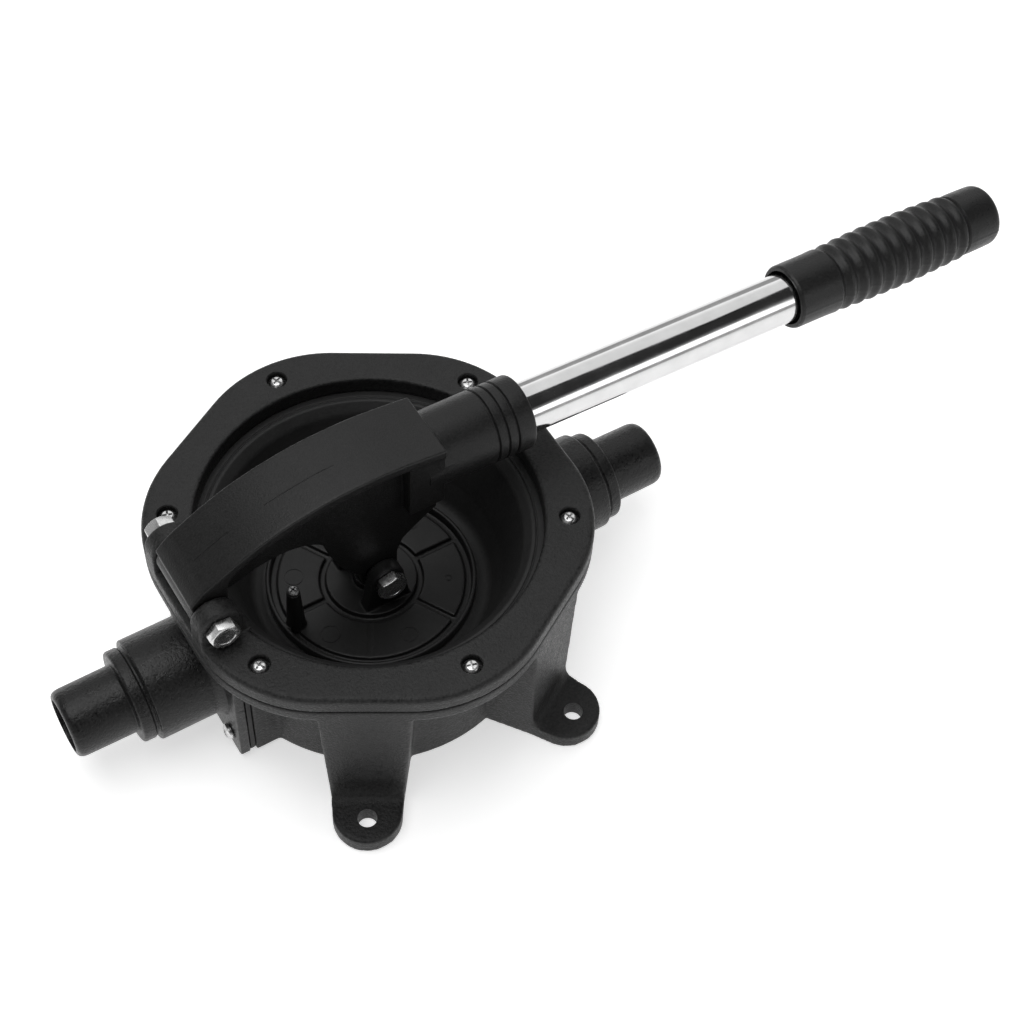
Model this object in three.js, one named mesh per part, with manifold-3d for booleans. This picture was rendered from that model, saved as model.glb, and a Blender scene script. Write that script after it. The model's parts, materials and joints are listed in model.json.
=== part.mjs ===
// Hand-operated diaphragm bilge pump: a round bowl on four feet, a rubber diaphragm under
// a clamping ring, a lever with a pull-out handle, and a hose port with a flap valve on
// each side. Millimetres, +Z up, +X from the lever's pivot towards the grip (and along
// both hose ports), +Y along the pivot axis. Origin: centre of the bowl's underside.
import * as THREE from "three";
import { mergeVertices } from "three/addons/utils/BufferGeometryUtils.js";
import Module from "manifold-3d";

const wasm = await Module();
wasm.setup();

// ---------------------------------------------------------------- driving dimensions
// clearance between pieces that touch
const GAP = 0.3;

// clamp ring and body flange: a hexagon with large rounded corners
const RING_INRADIUS = 75;
const RING_CORNER_R = 49;
const RING_TOP_Z = 70.5;
const RING_BOTTOM_Z = 63.5;
const RING_OPENING_R = 61.3;
const RING_BEVEL = 1.6;
const FLANGE_TOP_Z = 63.1;
const FLANGE_BOTTOM_Z = 57.5;

// bowl
const BOWL_FOOT_R = 58.2;
const BOWL_LOW_R = 59.8;
const BOWL_TOP_R = 60.5;
const BOWL_CHAMFER = 2;
const BOWL_FLOOR_Z = 6;
const BOWL_MOUTH_R = 58.2;
const RIM_SEAT_R = 66.4;
const RIM_SEAT_Z = 60.2;

// feet
const FOOT_ANGLES = [59.8, 120.2, -120.2, -59.8];
const FOOT_HOLE_R = 85;
const FOOT_HOLE_D = 7;
const FOOT_THICK = 7;
const FOOT_END_R = 12.4;
const LEG_HALF_TOP = 15.8;
const LEG_HALF_LOW = 12.8;
const LEG_BACK_EXTRA = 2.2;

// clamp screws
const SCREW_CIRCLE_R = 70;
const SCREW_ANGLES = [-30, 30, 90, 150, -150, -90];
const COUNTERBORE_D = 7.4;
const CLAMP_HEAD_R = 2.95;
const COUNTERBORE_Z = 67.4;
const CLAMP_SCREW_LENGTH = 8.4;

// hose ports, axis along X at this height
const PORT_AXIS_Z = 29;
const PORT_TIP_X = 121;
const HOSE_SMALL_R = 12.7;
const HOSE_LARGE_R = 19;
const COLLAR_R = 17.3;
const COLLAR_X = 98.6;
const LARGE_END_X = 92.6;
const PORT_FLANGE_OUT_X = 68.6;
const PORT_FLANGE_IN_X = 64.9;
const GASKET_OUT_X = 64.6;
const GASKET_IN_X = 62.8;
const BOSS_FACE_X = 62.5;
const FLANGE_HALF = 27.4;
const PORT_BORE_R = 9.8;
const SEAT_BORE_R = 12;
const FLAP_CHAMBER_R = 16.4;
const PORT_SCREW_Y = 20;
const PORT_SCREW_Z = 19;
const PORT_SCREW_LENGTH = 12;

// flap valves
const FLAP_R = 14.8;
const FLAP_HINGE_DROP = 14.2;
const FLAP_THICK = 1.5;

// pivot
const PIVOT_X = -67;
const PIVOT_Z = 78.4;
const BARREL_R = 7;
const EAR_R = 8;
const LEVER_HALF = 13.5;
const END_HALF = 12.9;
const EAR_IN_Y = 13.9;
const EAR_OUT_Y = 21;

// M6 hex hardware
const M6_R = 3;
const M6_HOLE_R = 3.25;
const HEX_AF = 10;
const HEX_HEAD_H = 4;
const NUT_H = 5;
const THREAD_END = 1.6;

// lever, relative to the pivot
const PIN_DX = 67;
const PIN_DZ = -32.4;
const PIN_SLOT = 2.9;
const LEG_HALF = 7.8;
const LEG_END_DX = 66.3;
const LEG_END_R = 7.4;
const SOCKET_R = 13.8;
const SOCKET_MOUTH_DX = 126.5;
const TUBE_TILT_DEG = 2.1;
const TUBE_AXIS_DX = 90;
const TUBE_AXIS_DZ = 14.7;

// handle tube and grip, along the tube axis from the point named by TUBE_AXIS_DX
const TUBE_R = 9.5;
const TUBE_WALL = 1.2;
const TUBE_START = 6;
const TUBE_END = 236;
const GRIP_START = 153;
const GRIP_END = 250;
const GRIP_MOUTH_R = 10.5;
const RIDGE_COUNT = 9;
const RIDGE_PITCH = 6.1;
const RIDGE_START = 27;

// diaphragm and its clamping plates (plate group, relative to the clevis pin)
const PIN_X = PIVOT_X + PIN_DX;
const PIN_Z = PIVOT_Z + PIN_DZ;
const PLATE_R = 38.5;
const PLATE_FLOOR_Z = 31;
const PLATE_RIM_Z = 33.2;
const PLATE_UNDER_Z = 29;
const RUBBER_T = 2;
const LOWER_PLATE_TOP_Z = 26.4;
const LOWER_PLATE_BOTTOM_Z = 22.6;
const LOWER_PLATE_R = 36;
const GROOVE_Z = 29.9;
const RIM_IN_R = 36.3;
const PAD_OUT_R = 34.3;
const PAD_IN_R = 19;
const RADIAL_GROOVE_HALF = 0.95;
const HUB_R = 16.7;
const HUB_TOP_Z = 31.8;
const BOSS_R = 6.5;
const BOSS_TOP_Z = 34.8;
const CHEEK_IN_Y = 8.1;
const CHEEK_OUT_Y = 13;
const CHEEK_R = 6.6;
const CHEEK_FOOT_HALF = 9;
const POST_X = -33;
const POST_Y = -4;
const POST_HEIGHT = 20.5;

// ---------------------------------------------------------------- materials
function plastic(name, color, roughness) {
  return new THREE.MeshStandardMaterial({ name, color, roughness, metalness: 0 });
}

function metal(name, color, roughness) {
  return new THREE.MeshStandardMaterial({ name, color, roughness, metalness: 1 });
}

const BLACK = 0x17181a;
const bodyPlastic = () => plastic("body_plastic", BLACK, 0.55);
const platePlastic = () => plastic("plate_plastic", 0x131416, 0.25);
const leverPlastic = () => plastic("lever_plastic", BLACK, 0.45);
const blackRubber = () => plastic("rubber", 0x0d0e0f, 0.7);
const gripRubber = () => plastic("grip_rubber", 0x111213, 0.6);
const zincSteel = () => metal("zinc_steel", 0xc9cbcd, 0.3);
const polishedTube = () => metal("polished_tube", 0xd8dadc, 0.08);

// ---------------------------------------------------------------- solid helpers
// closed three.js geometry -> manifold solid (shared vertices merged, slivers dropped)
function solid(geometry) {
  const bare = geometry.clone();
  bare.deleteAttribute("normal");
  bare.deleteAttribute("uv");
  const merged = mergeVertices(bare, 1e-4);
  const index = merged.index.array;
  const keep = [];
  for (let i = 0; i < index.length; i += 3) {
    const a = index[i];
    const b = index[i + 1];
    const c = index[i + 2];
    if (a !== b && b !== c && c !== a) {
      keep.push(a, b, c);
    }
  }
  const mesh = new wasm.Mesh({
    numProp: 3,
    vertProperties: Float32Array.from(merged.attributes.position.array),
    triVerts: Uint32Array.from(keep),
  });
  return new wasm.Manifold(mesh);
}

// manifold solid -> three.js geometry
function geometryOf(manifold) {
  const mesh = manifold.getMesh();
  const geometry = new THREE.BufferGeometry();
  geometry.setAttribute("position", new THREE.BufferAttribute(mesh.vertProperties, 3));
  geometry.setIndex(new THREE.BufferAttribute(mesh.triVerts, 1));
  geometry.computeVertexNormals();
  return geometry;
}

function join(first, ...others) {
  return others.reduce((sum, other) => sum.add(other), first);
}

function cut(first, ...others) {
  return others.reduce((sum, other) => sum.subtract(other), first);
}

// box given by its low and high corners
function block(low, high) {
  const size = high.map((value, axis) => value - low[axis]);
  const geometry = new THREE.BoxGeometry(...size);
  geometry.translate(...high.map((value, axis) => (value + low[axis]) / 2));
  return solid(geometry);
}

// solid of revolution about Z from a closed profile of [radius, z] points
function turned(profile, segments) {
  const area = profile.reduce((sum, point, i) => {
    const next = profile[(i + 1) % profile.length];
    return sum + point[0] * next[1] - next[0] * point[1];
  }, 0);
  const ordered = area > 0 ? profile : [...profile].reverse();
  const start = Math.max(0, ordered.findIndex((p, i) => {
    const before = ordered[(i + ordered.length - 1) % ordered.length];
    return p[0] === 0 && before[0] === 0;
  }));
  const rolled = [...ordered.slice(start), ...ordered.slice(0, start)];
  const closed = rolled[0][0] === 0 ? rolled : [...rolled, rolled[0]];
  const points = closed.map(([r, z]) => new THREE.Vector2(r, z));
  const geometry = new THREE.LatheGeometry(points, segments);
  geometry.rotateX(Math.PI / 2);
  return solid(geometry);
}

// plain cylinder about Z between two heights
function rod(radius, low, high, segments) {
  return turned([[0, low], [radius, low], [radius, high], [0, high]], segments);
}

// the same turned solids laid along X (outwards from the centre) or along Y
function alongX(manifold) {
  return manifold.rotate([0, 90, 0]);
}

function alongY(manifold) {
  return manifold.rotate([-90, 0, 0]);
}

// outline in the XY plane, extruded upwards from z0 to z1
function prism(shape, z0, z1, curveSegments = 6) {
  const settings = { depth: z1 - z0, bevelEnabled: false, curveSegments };
  const geometry = new THREE.ExtrudeGeometry(shape, settings);
  geometry.translate(0, 0, z0);
  return solid(geometry);
}

// outline given in (x, z), extruded along Y from y0 to y1
function sideProfile(shape, y0, y1, curveSegments = 6) {
  const settings = { depth: y1 - y0, bevelEnabled: false, curveSegments };
  const geometry = new THREE.ExtrudeGeometry(shape, settings);
  geometry.rotateX(Math.PI / 2);
  geometry.translate(0, y1, 0);
  return solid(geometry);
}

function polygon(points) {
  return new THREE.Shape(points.map(([x, y]) => new THREE.Vector2(x, y)));
}

// hexagon across flats AF about Z
function hexPrism(acrossFlats, low, high) {
  const corner = acrossFlats / Math.sqrt(3);
  return rod(corner, low, high, 6);
}

function polar(radius, degrees) {
  const angle = THREE.MathUtils.degToRad(degrees);
  return [radius * Math.cos(angle), radius * Math.sin(angle)];
}

function mesh(name, manifold, material) {
  const piece = new THREE.Mesh(geometryOf(manifold), material);
  piece.name = name;
  return piece;
}

// ---------------------------------------------------------------- ring and flange outline
function roundedHexagon(inradius, cornerRadius) {
  const centreRadius = (inradius - cornerRadius) / Math.cos(Math.PI / 6);
  const shape = new THREE.Shape();
  for (let i = 0; i < 6; i += 1) {
    const direction = 30 + 60 * i;
    const [cx, cy] = polar(centreRadius, direction);
    const from = THREE.MathUtils.degToRad(direction - 30);
    const to = THREE.MathUtils.degToRad(direction + 30);
    shape.absarc(cx, cy, cornerRadius, from, to, false);
  }
  return shape;
}

// ---------------------------------------------------------------- screws and bolts
// pan-head cross-recess screw pointing down: head seat at z = 0, shank below
function panScrew(headRadius, headHeight, shankRadius, length) {
  const head = turned([
    [0, 0],
    [headRadius, 0],
    [headRadius, headHeight * 0.5],
    [headRadius * 0.65, headHeight],
    [0, headHeight],
  ], 12);
  const tip = shankRadius * 0.6;
  const shank = turned([
    [0, -length],
    [tip, -length],
    [shankRadius, -length + tip],
    [shankRadius, 0.5],
    [0, 0.5],
  ], 8);
  const arm = headRadius * 0.6;
  const half = headRadius * 0.13;
  const deep = headHeight * 0.35;
  const slotA = block([-arm, -half, deep], [arm, half, headHeight + 1]);
  const slotB = block([-half, -arm, deep], [half, arm, headHeight + 1]);
  return cut(join(head, shank), slotA, slotB);
}

// hex bolt along +Y: underside of the head at y = 0, head towards -Y
function hexBolt(length) {
  const head = hexPrism(HEX_AF, 0, HEX_HEAD_H);
  const dome = turned([
    [0, -1],
    [HEX_AF * 0.72, -1],
    [HEX_AF * 0.62, HEX_HEAD_H * 0.75],
    [HEX_AF * 0.47, HEX_HEAD_H],
    [0, HEX_HEAD_H],
  ], 18);
  const shank = turned([
    [0, -length],
    [M6_R - 0.6, -length],
    [M6_R, -length + 0.8],
    [M6_R, 0.5],
    [0, 0.5],
  ], 16);
  return join(head.intersect(dome), shank).rotate([90, 0, 0]);
}

// hex nut along Y with its near face at y = 0
function hexNut() {
  const body = hexPrism(HEX_AF, 0, NUT_H);
  const dome = turned([
    [0, 0],
    [HEX_AF * 0.47, 0],
    [HEX_AF * 0.58, NUT_H * 0.15],
    [HEX_AF * 0.58, NUT_H * 0.85],
    [HEX_AF * 0.47, NUT_H],
    [0, NUT_H],
  ], 18);
  const hole = rod(M6_HOLE_R, -1, NUT_H + 1, 16);
  return alongY(cut(body.intersect(dome), hole));
}

// ---------------------------------------------------------------- pump body
function footAndLeg() {
  // built on +X: leg block against the bowl, tab with its hole, fillet between them
  const front = RING_INRADIUS;
  // the leg is wider against the bowl than at its front
  const legSlice = (extra, x) => {
    const face = polygon([
      [-LEG_HALF_LOW - extra, 0],
      [LEG_HALF_LOW + extra, 0],
      [LEG_HALF_TOP + extra, FLANGE_BOTTOM_Z + 1],
      [-LEG_HALF_TOP - extra, FLANGE_BOTTOM_Z + 1],
    ]);
    return prism(face, 0, 0.1).rotate([90, 0, 90]).translate([x, 0, 0]);
  };
  const slices = [legSlice(LEG_BACK_EXTRA, 57), legSlice(0, front - 0.1)];
  const stood = wasm.Manifold.hull(slices);
  const tabShape = new THREE.Shape();
  const centre = 94.5 - FOOT_END_R;
  tabShape.moveTo(57, -LEG_HALF_LOW);
  tabShape.lineTo(front, -LEG_HALF_LOW);
  tabShape.lineTo(centre, -FOOT_END_R);
  tabShape.absarc(centre, 0, FOOT_END_R, -Math.PI / 2, Math.PI / 2, false);
  tabShape.lineTo(front, LEG_HALF_LOW);
  tabShape.lineTo(57, LEG_HALF_LOW);
  const tab = prism(tabShape, 0, FOOT_THICK, 7);
  const filletShape = polygon([
    [front - 1, FOOT_THICK - 1],
    [front + 4.4, FOOT_THICK - 1],
    [front + 4.4, FOOT_THICK],
    [front + 1.8, FOOT_THICK + 0.9],
    [front + 0.6, FOOT_THICK + 2.6],
    [front, FOOT_THICK + 5.6],
    [front - 1, FOOT_THICK + 5.6],
  ]);
  const fillet = sideProfile(filletShape, -LEG_HALF_LOW, LEG_HALF_LOW);
  const hole = rod(FOOT_HOLE_D / 2, -1, FOOT_THICK + 1, 16).translate([FOOT_HOLE_R, 0, 0]);
  return cut(join(stood, tab, fillet), hole);
}

function pumpBody() {
  const bowl = turned([
    [0, 0],
    [BOWL_FOOT_R, 0],
    [BOWL_LOW_R, BOWL_CHAMFER],
    [BOWL_TOP_R, FLANGE_BOTTOM_Z],
    [BOWL_TOP_R, FLANGE_TOP_Z],
    [0, FLANGE_TOP_Z],
  ], 40);
  const outline = roundedHexagon(RING_INRADIUS, RING_CORNER_R);
  const flange = prism(outline, FLANGE_BOTTOM_Z, FLANGE_TOP_Z);
  const bossLow = PORT_AXIS_Z - FLANGE_HALF;
  const bossHigh = PORT_AXIS_Z + FLANGE_HALF;
  const bosses = block(
    [-BOSS_FACE_X, -FLANGE_HALF, bossLow],
    [BOSS_FACE_X, FLANGE_HALF, bossHigh],
  );
  const legs = FOOT_ANGLES.map((angle) => footAndLeg().rotate([0, 0, angle]));
  const cavity = turned([
    [0, BOWL_FLOOR_Z],
    [50, BOWL_FLOOR_Z],
    [55.5, BOWL_FLOOR_Z + 5],
    [BOWL_MOUTH_R, RIM_SEAT_Z],
    [BOWL_MOUTH_R, FLANGE_TOP_Z + 1],
    [0, FLANGE_TOP_Z + 1],
  ], 40);
  const seat = turned([
    [0, RIM_SEAT_Z],
    [RIM_SEAT_R, RIM_SEAT_Z],
    [RIM_SEAT_R, FLANGE_TOP_Z + 1],
    [0, FLANGE_TOP_Z + 1],
  ], 40);
  const inletBore = alongX(rod(FLAP_CHAMBER_R, -BOSS_FACE_X - 1, -48, 24));
  const outletBore = alongX(rod(SEAT_BORE_R, 48, BOSS_FACE_X + 1, 24));
  const bores = [inletBore, outletBore].map((bore) => bore.translate([0, 0, PORT_AXIS_Z]));
  const clampHoles = SCREW_ANGLES.map((angle) => {
    const [x, y] = polar(SCREW_CIRCLE_R, angle);
    return rod(2.4, FLANGE_BOTTOM_Z + 1, FLANGE_TOP_Z + 1, 8).translate([x, y, 0]);
  });
  const portHoles = [];
  for (const side of [-1, 1]) {
    for (const y of [-PORT_SCREW_Y, PORT_SCREW_Y]) {
      for (const dz of [-PORT_SCREW_Z, PORT_SCREW_Z]) {
        const hole = alongX(rod(2.4, 56.4, BOSS_FACE_X + 1, 8));
        const turnedHole = side > 0 ? hole : hole.rotate([0, 0, 180]);
        portHoles.push(turnedHole.translate([0, y, PORT_AXIS_Z + dz]));
      }
    }
  }
  const shell = join(bowl, flange, bosses, ...legs);
  return cut(shell, cavity, seat, ...bores, ...clampHoles, ...portHoles);
}

// ---------------------------------------------------------------- clamp ring with pivot ears
function clampRing() {
  const flat = roundedHexagon(RING_INRADIUS - RING_BEVEL, RING_CORNER_R - RING_BEVEL);
  const bevelled = new THREE.ExtrudeGeometry(flat, {
    depth: RING_TOP_Z - RING_BOTTOM_Z,
    bevelEnabled: true,
    bevelThickness: RING_BEVEL,
    bevelSize: RING_BEVEL,
    bevelSegments: 1,
    curveSegments: 6,
  });
  bevelled.translate(0, 0, RING_BOTTOM_Z - RING_BEVEL);
  const trim = block([-100, -100, RING_BOTTOM_Z], [100, 100, RING_TOP_Z + 1]);
  const plate = solid(bevelled).intersect(trim);
  const opening = turned([
    [0, RING_BOTTOM_Z - 1],
    [RING_OPENING_R, RING_BOTTOM_Z - 1],
    [RING_OPENING_R, RING_TOP_Z - 0.8],
    [RING_OPENING_R + 0.8, RING_TOP_Z],
    [RING_OPENING_R + 0.8, RING_TOP_Z + 1],
    [0, RING_TOP_Z + 1],
  ], 44);
  const earShape = new THREE.Shape();
  earShape.moveTo(PIVOT_X - EAR_R, RING_TOP_Z - 4);
  earShape.lineTo(PIVOT_X + EAR_R, RING_TOP_Z - 4);
  earShape.lineTo(PIVOT_X + EAR_R, PIVOT_Z);
  earShape.absarc(PIVOT_X, PIVOT_Z, EAR_R, 0, Math.PI, false);
  const ears = [
    sideProfile(earShape, EAR_IN_Y, EAR_OUT_Y, 10),
    sideProfile(earShape, -EAR_OUT_Y, -EAR_IN_Y, 10),
  ];
  const boltHole = alongY(rod(M6_HOLE_R, -30, 30, 20)).translate([PIVOT_X, 0, PIVOT_Z]);
  const screwHoles = SCREW_ANGLES.map((angle) => {
    const [x, y] = polar(SCREW_CIRCLE_R, angle);
    const through = rod(2.4, RING_BOTTOM_Z - 1, RING_TOP_Z, 8);
    const bore = rod(COUNTERBORE_D / 2, COUNTERBORE_Z, RING_TOP_Z + 1, 12);
    return join(through, bore).translate([x, y, 0]);
  });
  const solidRing = join(cut(plate, opening), ...ears);
  return cut(solidRing, boltHole, ...screwHoles);
}

// ---------------------------------------------------------------- diaphragm and its plates
function diaphragm() {
  // rim clamped in the body's seat, a steep wall, and the flat centre between the plates
  const low = LOWER_PLATE_TOP_Z + GAP;
  const high = low + RUBBER_T;
  return turned([
    [5.2, low],
    [40, low],
    [44.6, low + 1.2],
    [47.8, low + 5],
    [49.6, low + 11],
    [55.6, 57],
    [57.6, RIM_SEAT_Z + GAP],
    [RIM_SEAT_R - GAP, RIM_SEAT_Z + GAP],
    [RIM_SEAT_R - GAP, RING_BOTTOM_Z - GAP],
    [57.6, RING_BOTTOM_Z - GAP],
    [54.4, 60.6],
    [47.6, low + 12],
    [43.8, low + 4.4],
    [39.6, high],
    [5.2, high],
  ], 36);
}

function upperPlate() {
  // six pads between a ring groove at the rim, a ring groove at the hub and radial grooves
  const dish = turned([
    [0, PLATE_UNDER_Z],
    [PLATE_R, PLATE_UNDER_Z],
    [PLATE_R, PLATE_RIM_Z - 0.5],
    [PLATE_R - 0.5, PLATE_RIM_Z],
    [RIM_IN_R + 0.6, PLATE_RIM_Z],
    [RIM_IN_R, GROOVE_Z],
    [PAD_OUT_R, GROOVE_Z],
    [PAD_OUT_R, PLATE_FLOOR_Z],
    [PAD_IN_R, PLATE_FLOOR_Z],
    [PAD_IN_R, GROOVE_Z],
    [HUB_R, GROOVE_Z],
    [HUB_R, HUB_TOP_Z],
    [0, HUB_TOP_Z],
  ], 36);
  const grooves = [0, 60, 120, 180, 240, 300].map((angle) => {
    const low = [PAD_IN_R - 1, -RADIAL_GROOVE_HALF, GROOVE_Z];
    const high = [PAD_OUT_R + 1, RADIAL_GROOVE_HALF, PLATE_FLOOR_Z + 1];
    return block(low, high).rotate([0, 0, angle]);
  });
  // clevis: two tapered cheeks with round tops
  const cheekShape = new THREE.Shape();
  cheekShape.moveTo(PIN_X - CHEEK_FOOT_HALF, HUB_TOP_Z - 1);
  cheekShape.lineTo(PIN_X + CHEEK_FOOT_HALF, HUB_TOP_Z - 1);
  cheekShape.lineTo(PIN_X + CHEEK_R, PIN_Z);
  cheekShape.absarc(PIN_X, PIN_Z, CHEEK_R, 0, Math.PI, false);
  const cheeks = [
    sideProfile(cheekShape, CHEEK_IN_Y, CHEEK_OUT_Y, 10),
    sideProfile(cheekShape, -CHEEK_OUT_Y, -CHEEK_IN_Y, 10),
  ];
  const pinHole = alongY(rod(M6_HOLE_R, -30, 30, 20)).translate([PIN_X, 0, PIN_Z]);
  // tapered post with a pilot hole for its small screw
  const post = turned([
    [0, 0],
    [3.6, 0],
    [2.4, POST_HEIGHT + 0.5],
    [0, POST_HEIGHT + 0.5],
  ], 14).translate([POST_X, POST_Y, PLATE_FLOOR_Z - 0.5]);
  const pilotLow = PLATE_FLOOR_Z + POST_HEIGHT - 8;
  const pilot = rod(1.5, pilotLow, pilotLow + 12, 8).translate([POST_X, POST_Y, 0]);
  // boss between the cheeks, for the bolt that comes up from below
  const boss = rod(BOSS_R, PLATE_UNDER_Z + 1, BOSS_TOP_Z, 20);
  const boltHole = rod(3.5, PLATE_UNDER_Z - 1, BOSS_TOP_Z - 1, 20);
  return cut(join(cut(dish, ...grooves), ...cheeks, post, boss), pinHole, pilot, boltHole);
}

function lowerPlate() {
  const disc = turned([
    [3.5, LOWER_PLATE_BOTTOM_Z],
    [30, LOWER_PLATE_BOTTOM_Z],
    [LOWER_PLATE_R, LOWER_PLATE_BOTTOM_Z + 1.6],
    [LOWER_PLATE_R, LOWER_PLATE_TOP_Z - 0.8],
    [LOWER_PLATE_R - 0.8, LOWER_PLATE_TOP_Z],
    [3.5, LOWER_PLATE_TOP_Z],
  ], 36);
  return disc;
}

// hex bolt from below through both plates and the rubber
function plateBolt() {
  const headTop = LOWER_PLATE_BOTTOM_Z - GAP;
  const head = hexPrism(HEX_AF, headTop - HEX_HEAD_H, headTop);
  const shank = rod(M6_R, headTop - 1, BOSS_TOP_Z - 1.5, 20);
  return join(head, shank);
}

// ---------------------------------------------------------------- lever, about the pivot
const SOCKET_AXIS = new THREE.Vector2(TUBE_AXIS_DX, TUBE_AXIS_DZ);

// place something built along +Z from the socket's inner end on the tilted tube axis
function ontoTubeAxis(manifold) {
  return manifold.rotate([0, 90 + TUBE_TILT_DEG, 0]).translate([SOCKET_AXIS.x, 0, SOCKET_AXIS.y]);
}

function leverArm() {
  const barrel = alongY(rod(BARREL_R, -LEVER_HALF, LEVER_HALF, 24));
  // arched top strap with its root round the barrel, upper face first
  const strapTop = [
    [-7, 0.5],
    [-6.7, 4],
    [-5.8, 7.2],
    [-4.6, 9.2],
    [-2.8, 10.9],
    [0, 12.7],
    [6, 16.1],
    [12, 19.5],
    [20, 23.3],
    [28, 26.2],
    [36, 28.3],
    [46, 30.3],
    [56, 31.1],
    [66, 31.3],
    [76, 30.6],
    [90, 28.9],
  ];
  const strapUnder = [
    [90, 24.9],
    [76, 26.7],
    [66, 27.3],
    [56, 27.1],
    [46, 26.3],
    [36, 24.3],
    [28, 22.1],
    [20, 19.1],
    [12, 14.9],
    [8, 11],
    [7, 6],
    [6.9, 0.5],
  ];
  const strap = sideProfile(polygon([...strapTop, ...strapUnder]), -LEVER_HALF, LEVER_HALF);
  // web: from the strap down to the arch and the connecting leg
  const webShape = new THREE.Shape();
  webShape.moveTo(0, 0);
  webShape.lineTo(7, -1.6);
  webShape.lineTo(12.4, -0.1);
  webShape.quadraticCurveTo(21, 4.3, 30, 4.5);
  webShape.quadraticCurveTo(39, 4.4, 45, -1.4);
  webShape.lineTo(47.4, -10);
  webShape.lineTo(51.7, -20.4);
  webShape.lineTo(LEG_END_DX - LEG_END_R, PIN_DZ + 2);
  webShape.lineTo(LEG_END_DX - LEG_END_R, PIN_DZ);
  webShape.absarc(LEG_END_DX, PIN_DZ, LEG_END_R, Math.PI, 2 * Math.PI, false);
  webShape.lineTo(73.8, -25);
  webShape.lineTo(76, -19);
  webShape.lineTo(82, -14);
  webShape.lineTo(89.6, -8.6);
  webShape.lineTo(89.6, 26);
  webShape.lineTo(60, 28);
  webShape.lineTo(30, 22);
  webShape.lineTo(6, 11.5);
  const web = sideProfile(webShape, -LEG_HALF, LEG_HALF, 8);
  const endBlock = block([76, -END_HALF, 0.8], [TUBE_AXIS_DX - 0.2, END_HALF, 28.3]);
  const length = SOCKET_MOUTH_DX - TUBE_AXIS_DX;
  const grooves = [];
  for (const at of [length - 15.2, length - 11.3, length - 7.4]) {
    grooves.push([SOCKET_R - 0.15, at - 0.5], [SOCKET_R - 0.9, at - 0.2]);
    grooves.push([SOCKET_R - 0.9, at + 0.2], [SOCKET_R - 0.1, at + 0.5]);
  }
  const socket = ontoTubeAxis(turned([
    [0, -6],
    [SOCKET_R - 0.6, -6],
    ...grooves,
    [SOCKET_R, length - 0.9],
    [SOCKET_R - 0.9, length],
    [0, length],
  ], 26));
  const bore = ontoTubeAxis(rod(TUBE_R + GAP, TUBE_START - 1, length + 1, 24));
  const pivotHole = alongY(rod(M6_HOLE_R, -30, 30, 20));
  // slot for the clevis pin, running from its rest place towards the pivot
  const slotShape = new THREE.Shape();
  const slotAngle = Math.atan2(PIN_DZ, PIN_DX);
  const reach = Math.hypot(PIN_DX, PIN_DZ);
  const inner = reach - PIN_SLOT;
  const slotR = M6_R + 0.5;
  const innerX = inner * Math.cos(slotAngle);
  const innerZ = inner * Math.sin(slotAngle);
  slotShape.absarc(PIN_DX, PIN_DZ, slotR, slotAngle - Math.PI / 2, slotAngle + Math.PI / 2, false);
  slotShape.absarc(innerX, innerZ, slotR, slotAngle + Math.PI / 2, slotAngle + 1.5 * Math.PI, false);
  const slot = sideProfile(slotShape, -20, 20, 8);
  return cut(join(barrel, strap, web, endBlock, socket), bore, pivotHole, slot);
}

function handleTube() {
  const inside = TUBE_R - TUBE_WALL;
  return turned([
    [inside, TUBE_START],
    [TUBE_R - 0.4, TUBE_START],
    [TUBE_R, TUBE_START + 0.5],
    [TUBE_R, TUBE_END - 0.5],
    [TUBE_R - 0.4, TUBE_END],
    [inside, TUBE_END],
  ], 28);
}

function handleGrip() {
  const inside = TUBE_R + GAP;
  const outer = [
    [inside, GRIP_START + 4],
    [GRIP_MOUTH_R, GRIP_START + 3],
    [GRIP_MOUTH_R, GRIP_START],
    [11.8, GRIP_START],
    [12.3, GRIP_START + 0.9],
    [12.4, GRIP_START + 12],
  ];
  for (let i = 0; i < RIDGE_COUNT; i += 1) {
    const at = GRIP_START + RIDGE_START + RIDGE_PITCH * i;
    const swell = 13.6 - 0.045 * (i - 3.6) * (i - 3.6);
    outer.push([swell - 0.9, at]);
    outer.push([swell, at + RIDGE_PITCH / 2]);
  }
  outer.push([12.2, GRIP_START + RIDGE_START + RIDGE_PITCH * RIDGE_COUNT]);
  outer.push([12.1, GRIP_END - 4.5]);
  outer.push([10.9, GRIP_END - 1.4]);
  outer.push([9, GRIP_END]);
  return turned([
    ...outer,
    [0, GRIP_END],
    [0, TUBE_END + GAP + 0.2],
    [inside, TUBE_END + GAP + 0.2],
  ], 22);
}

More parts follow.
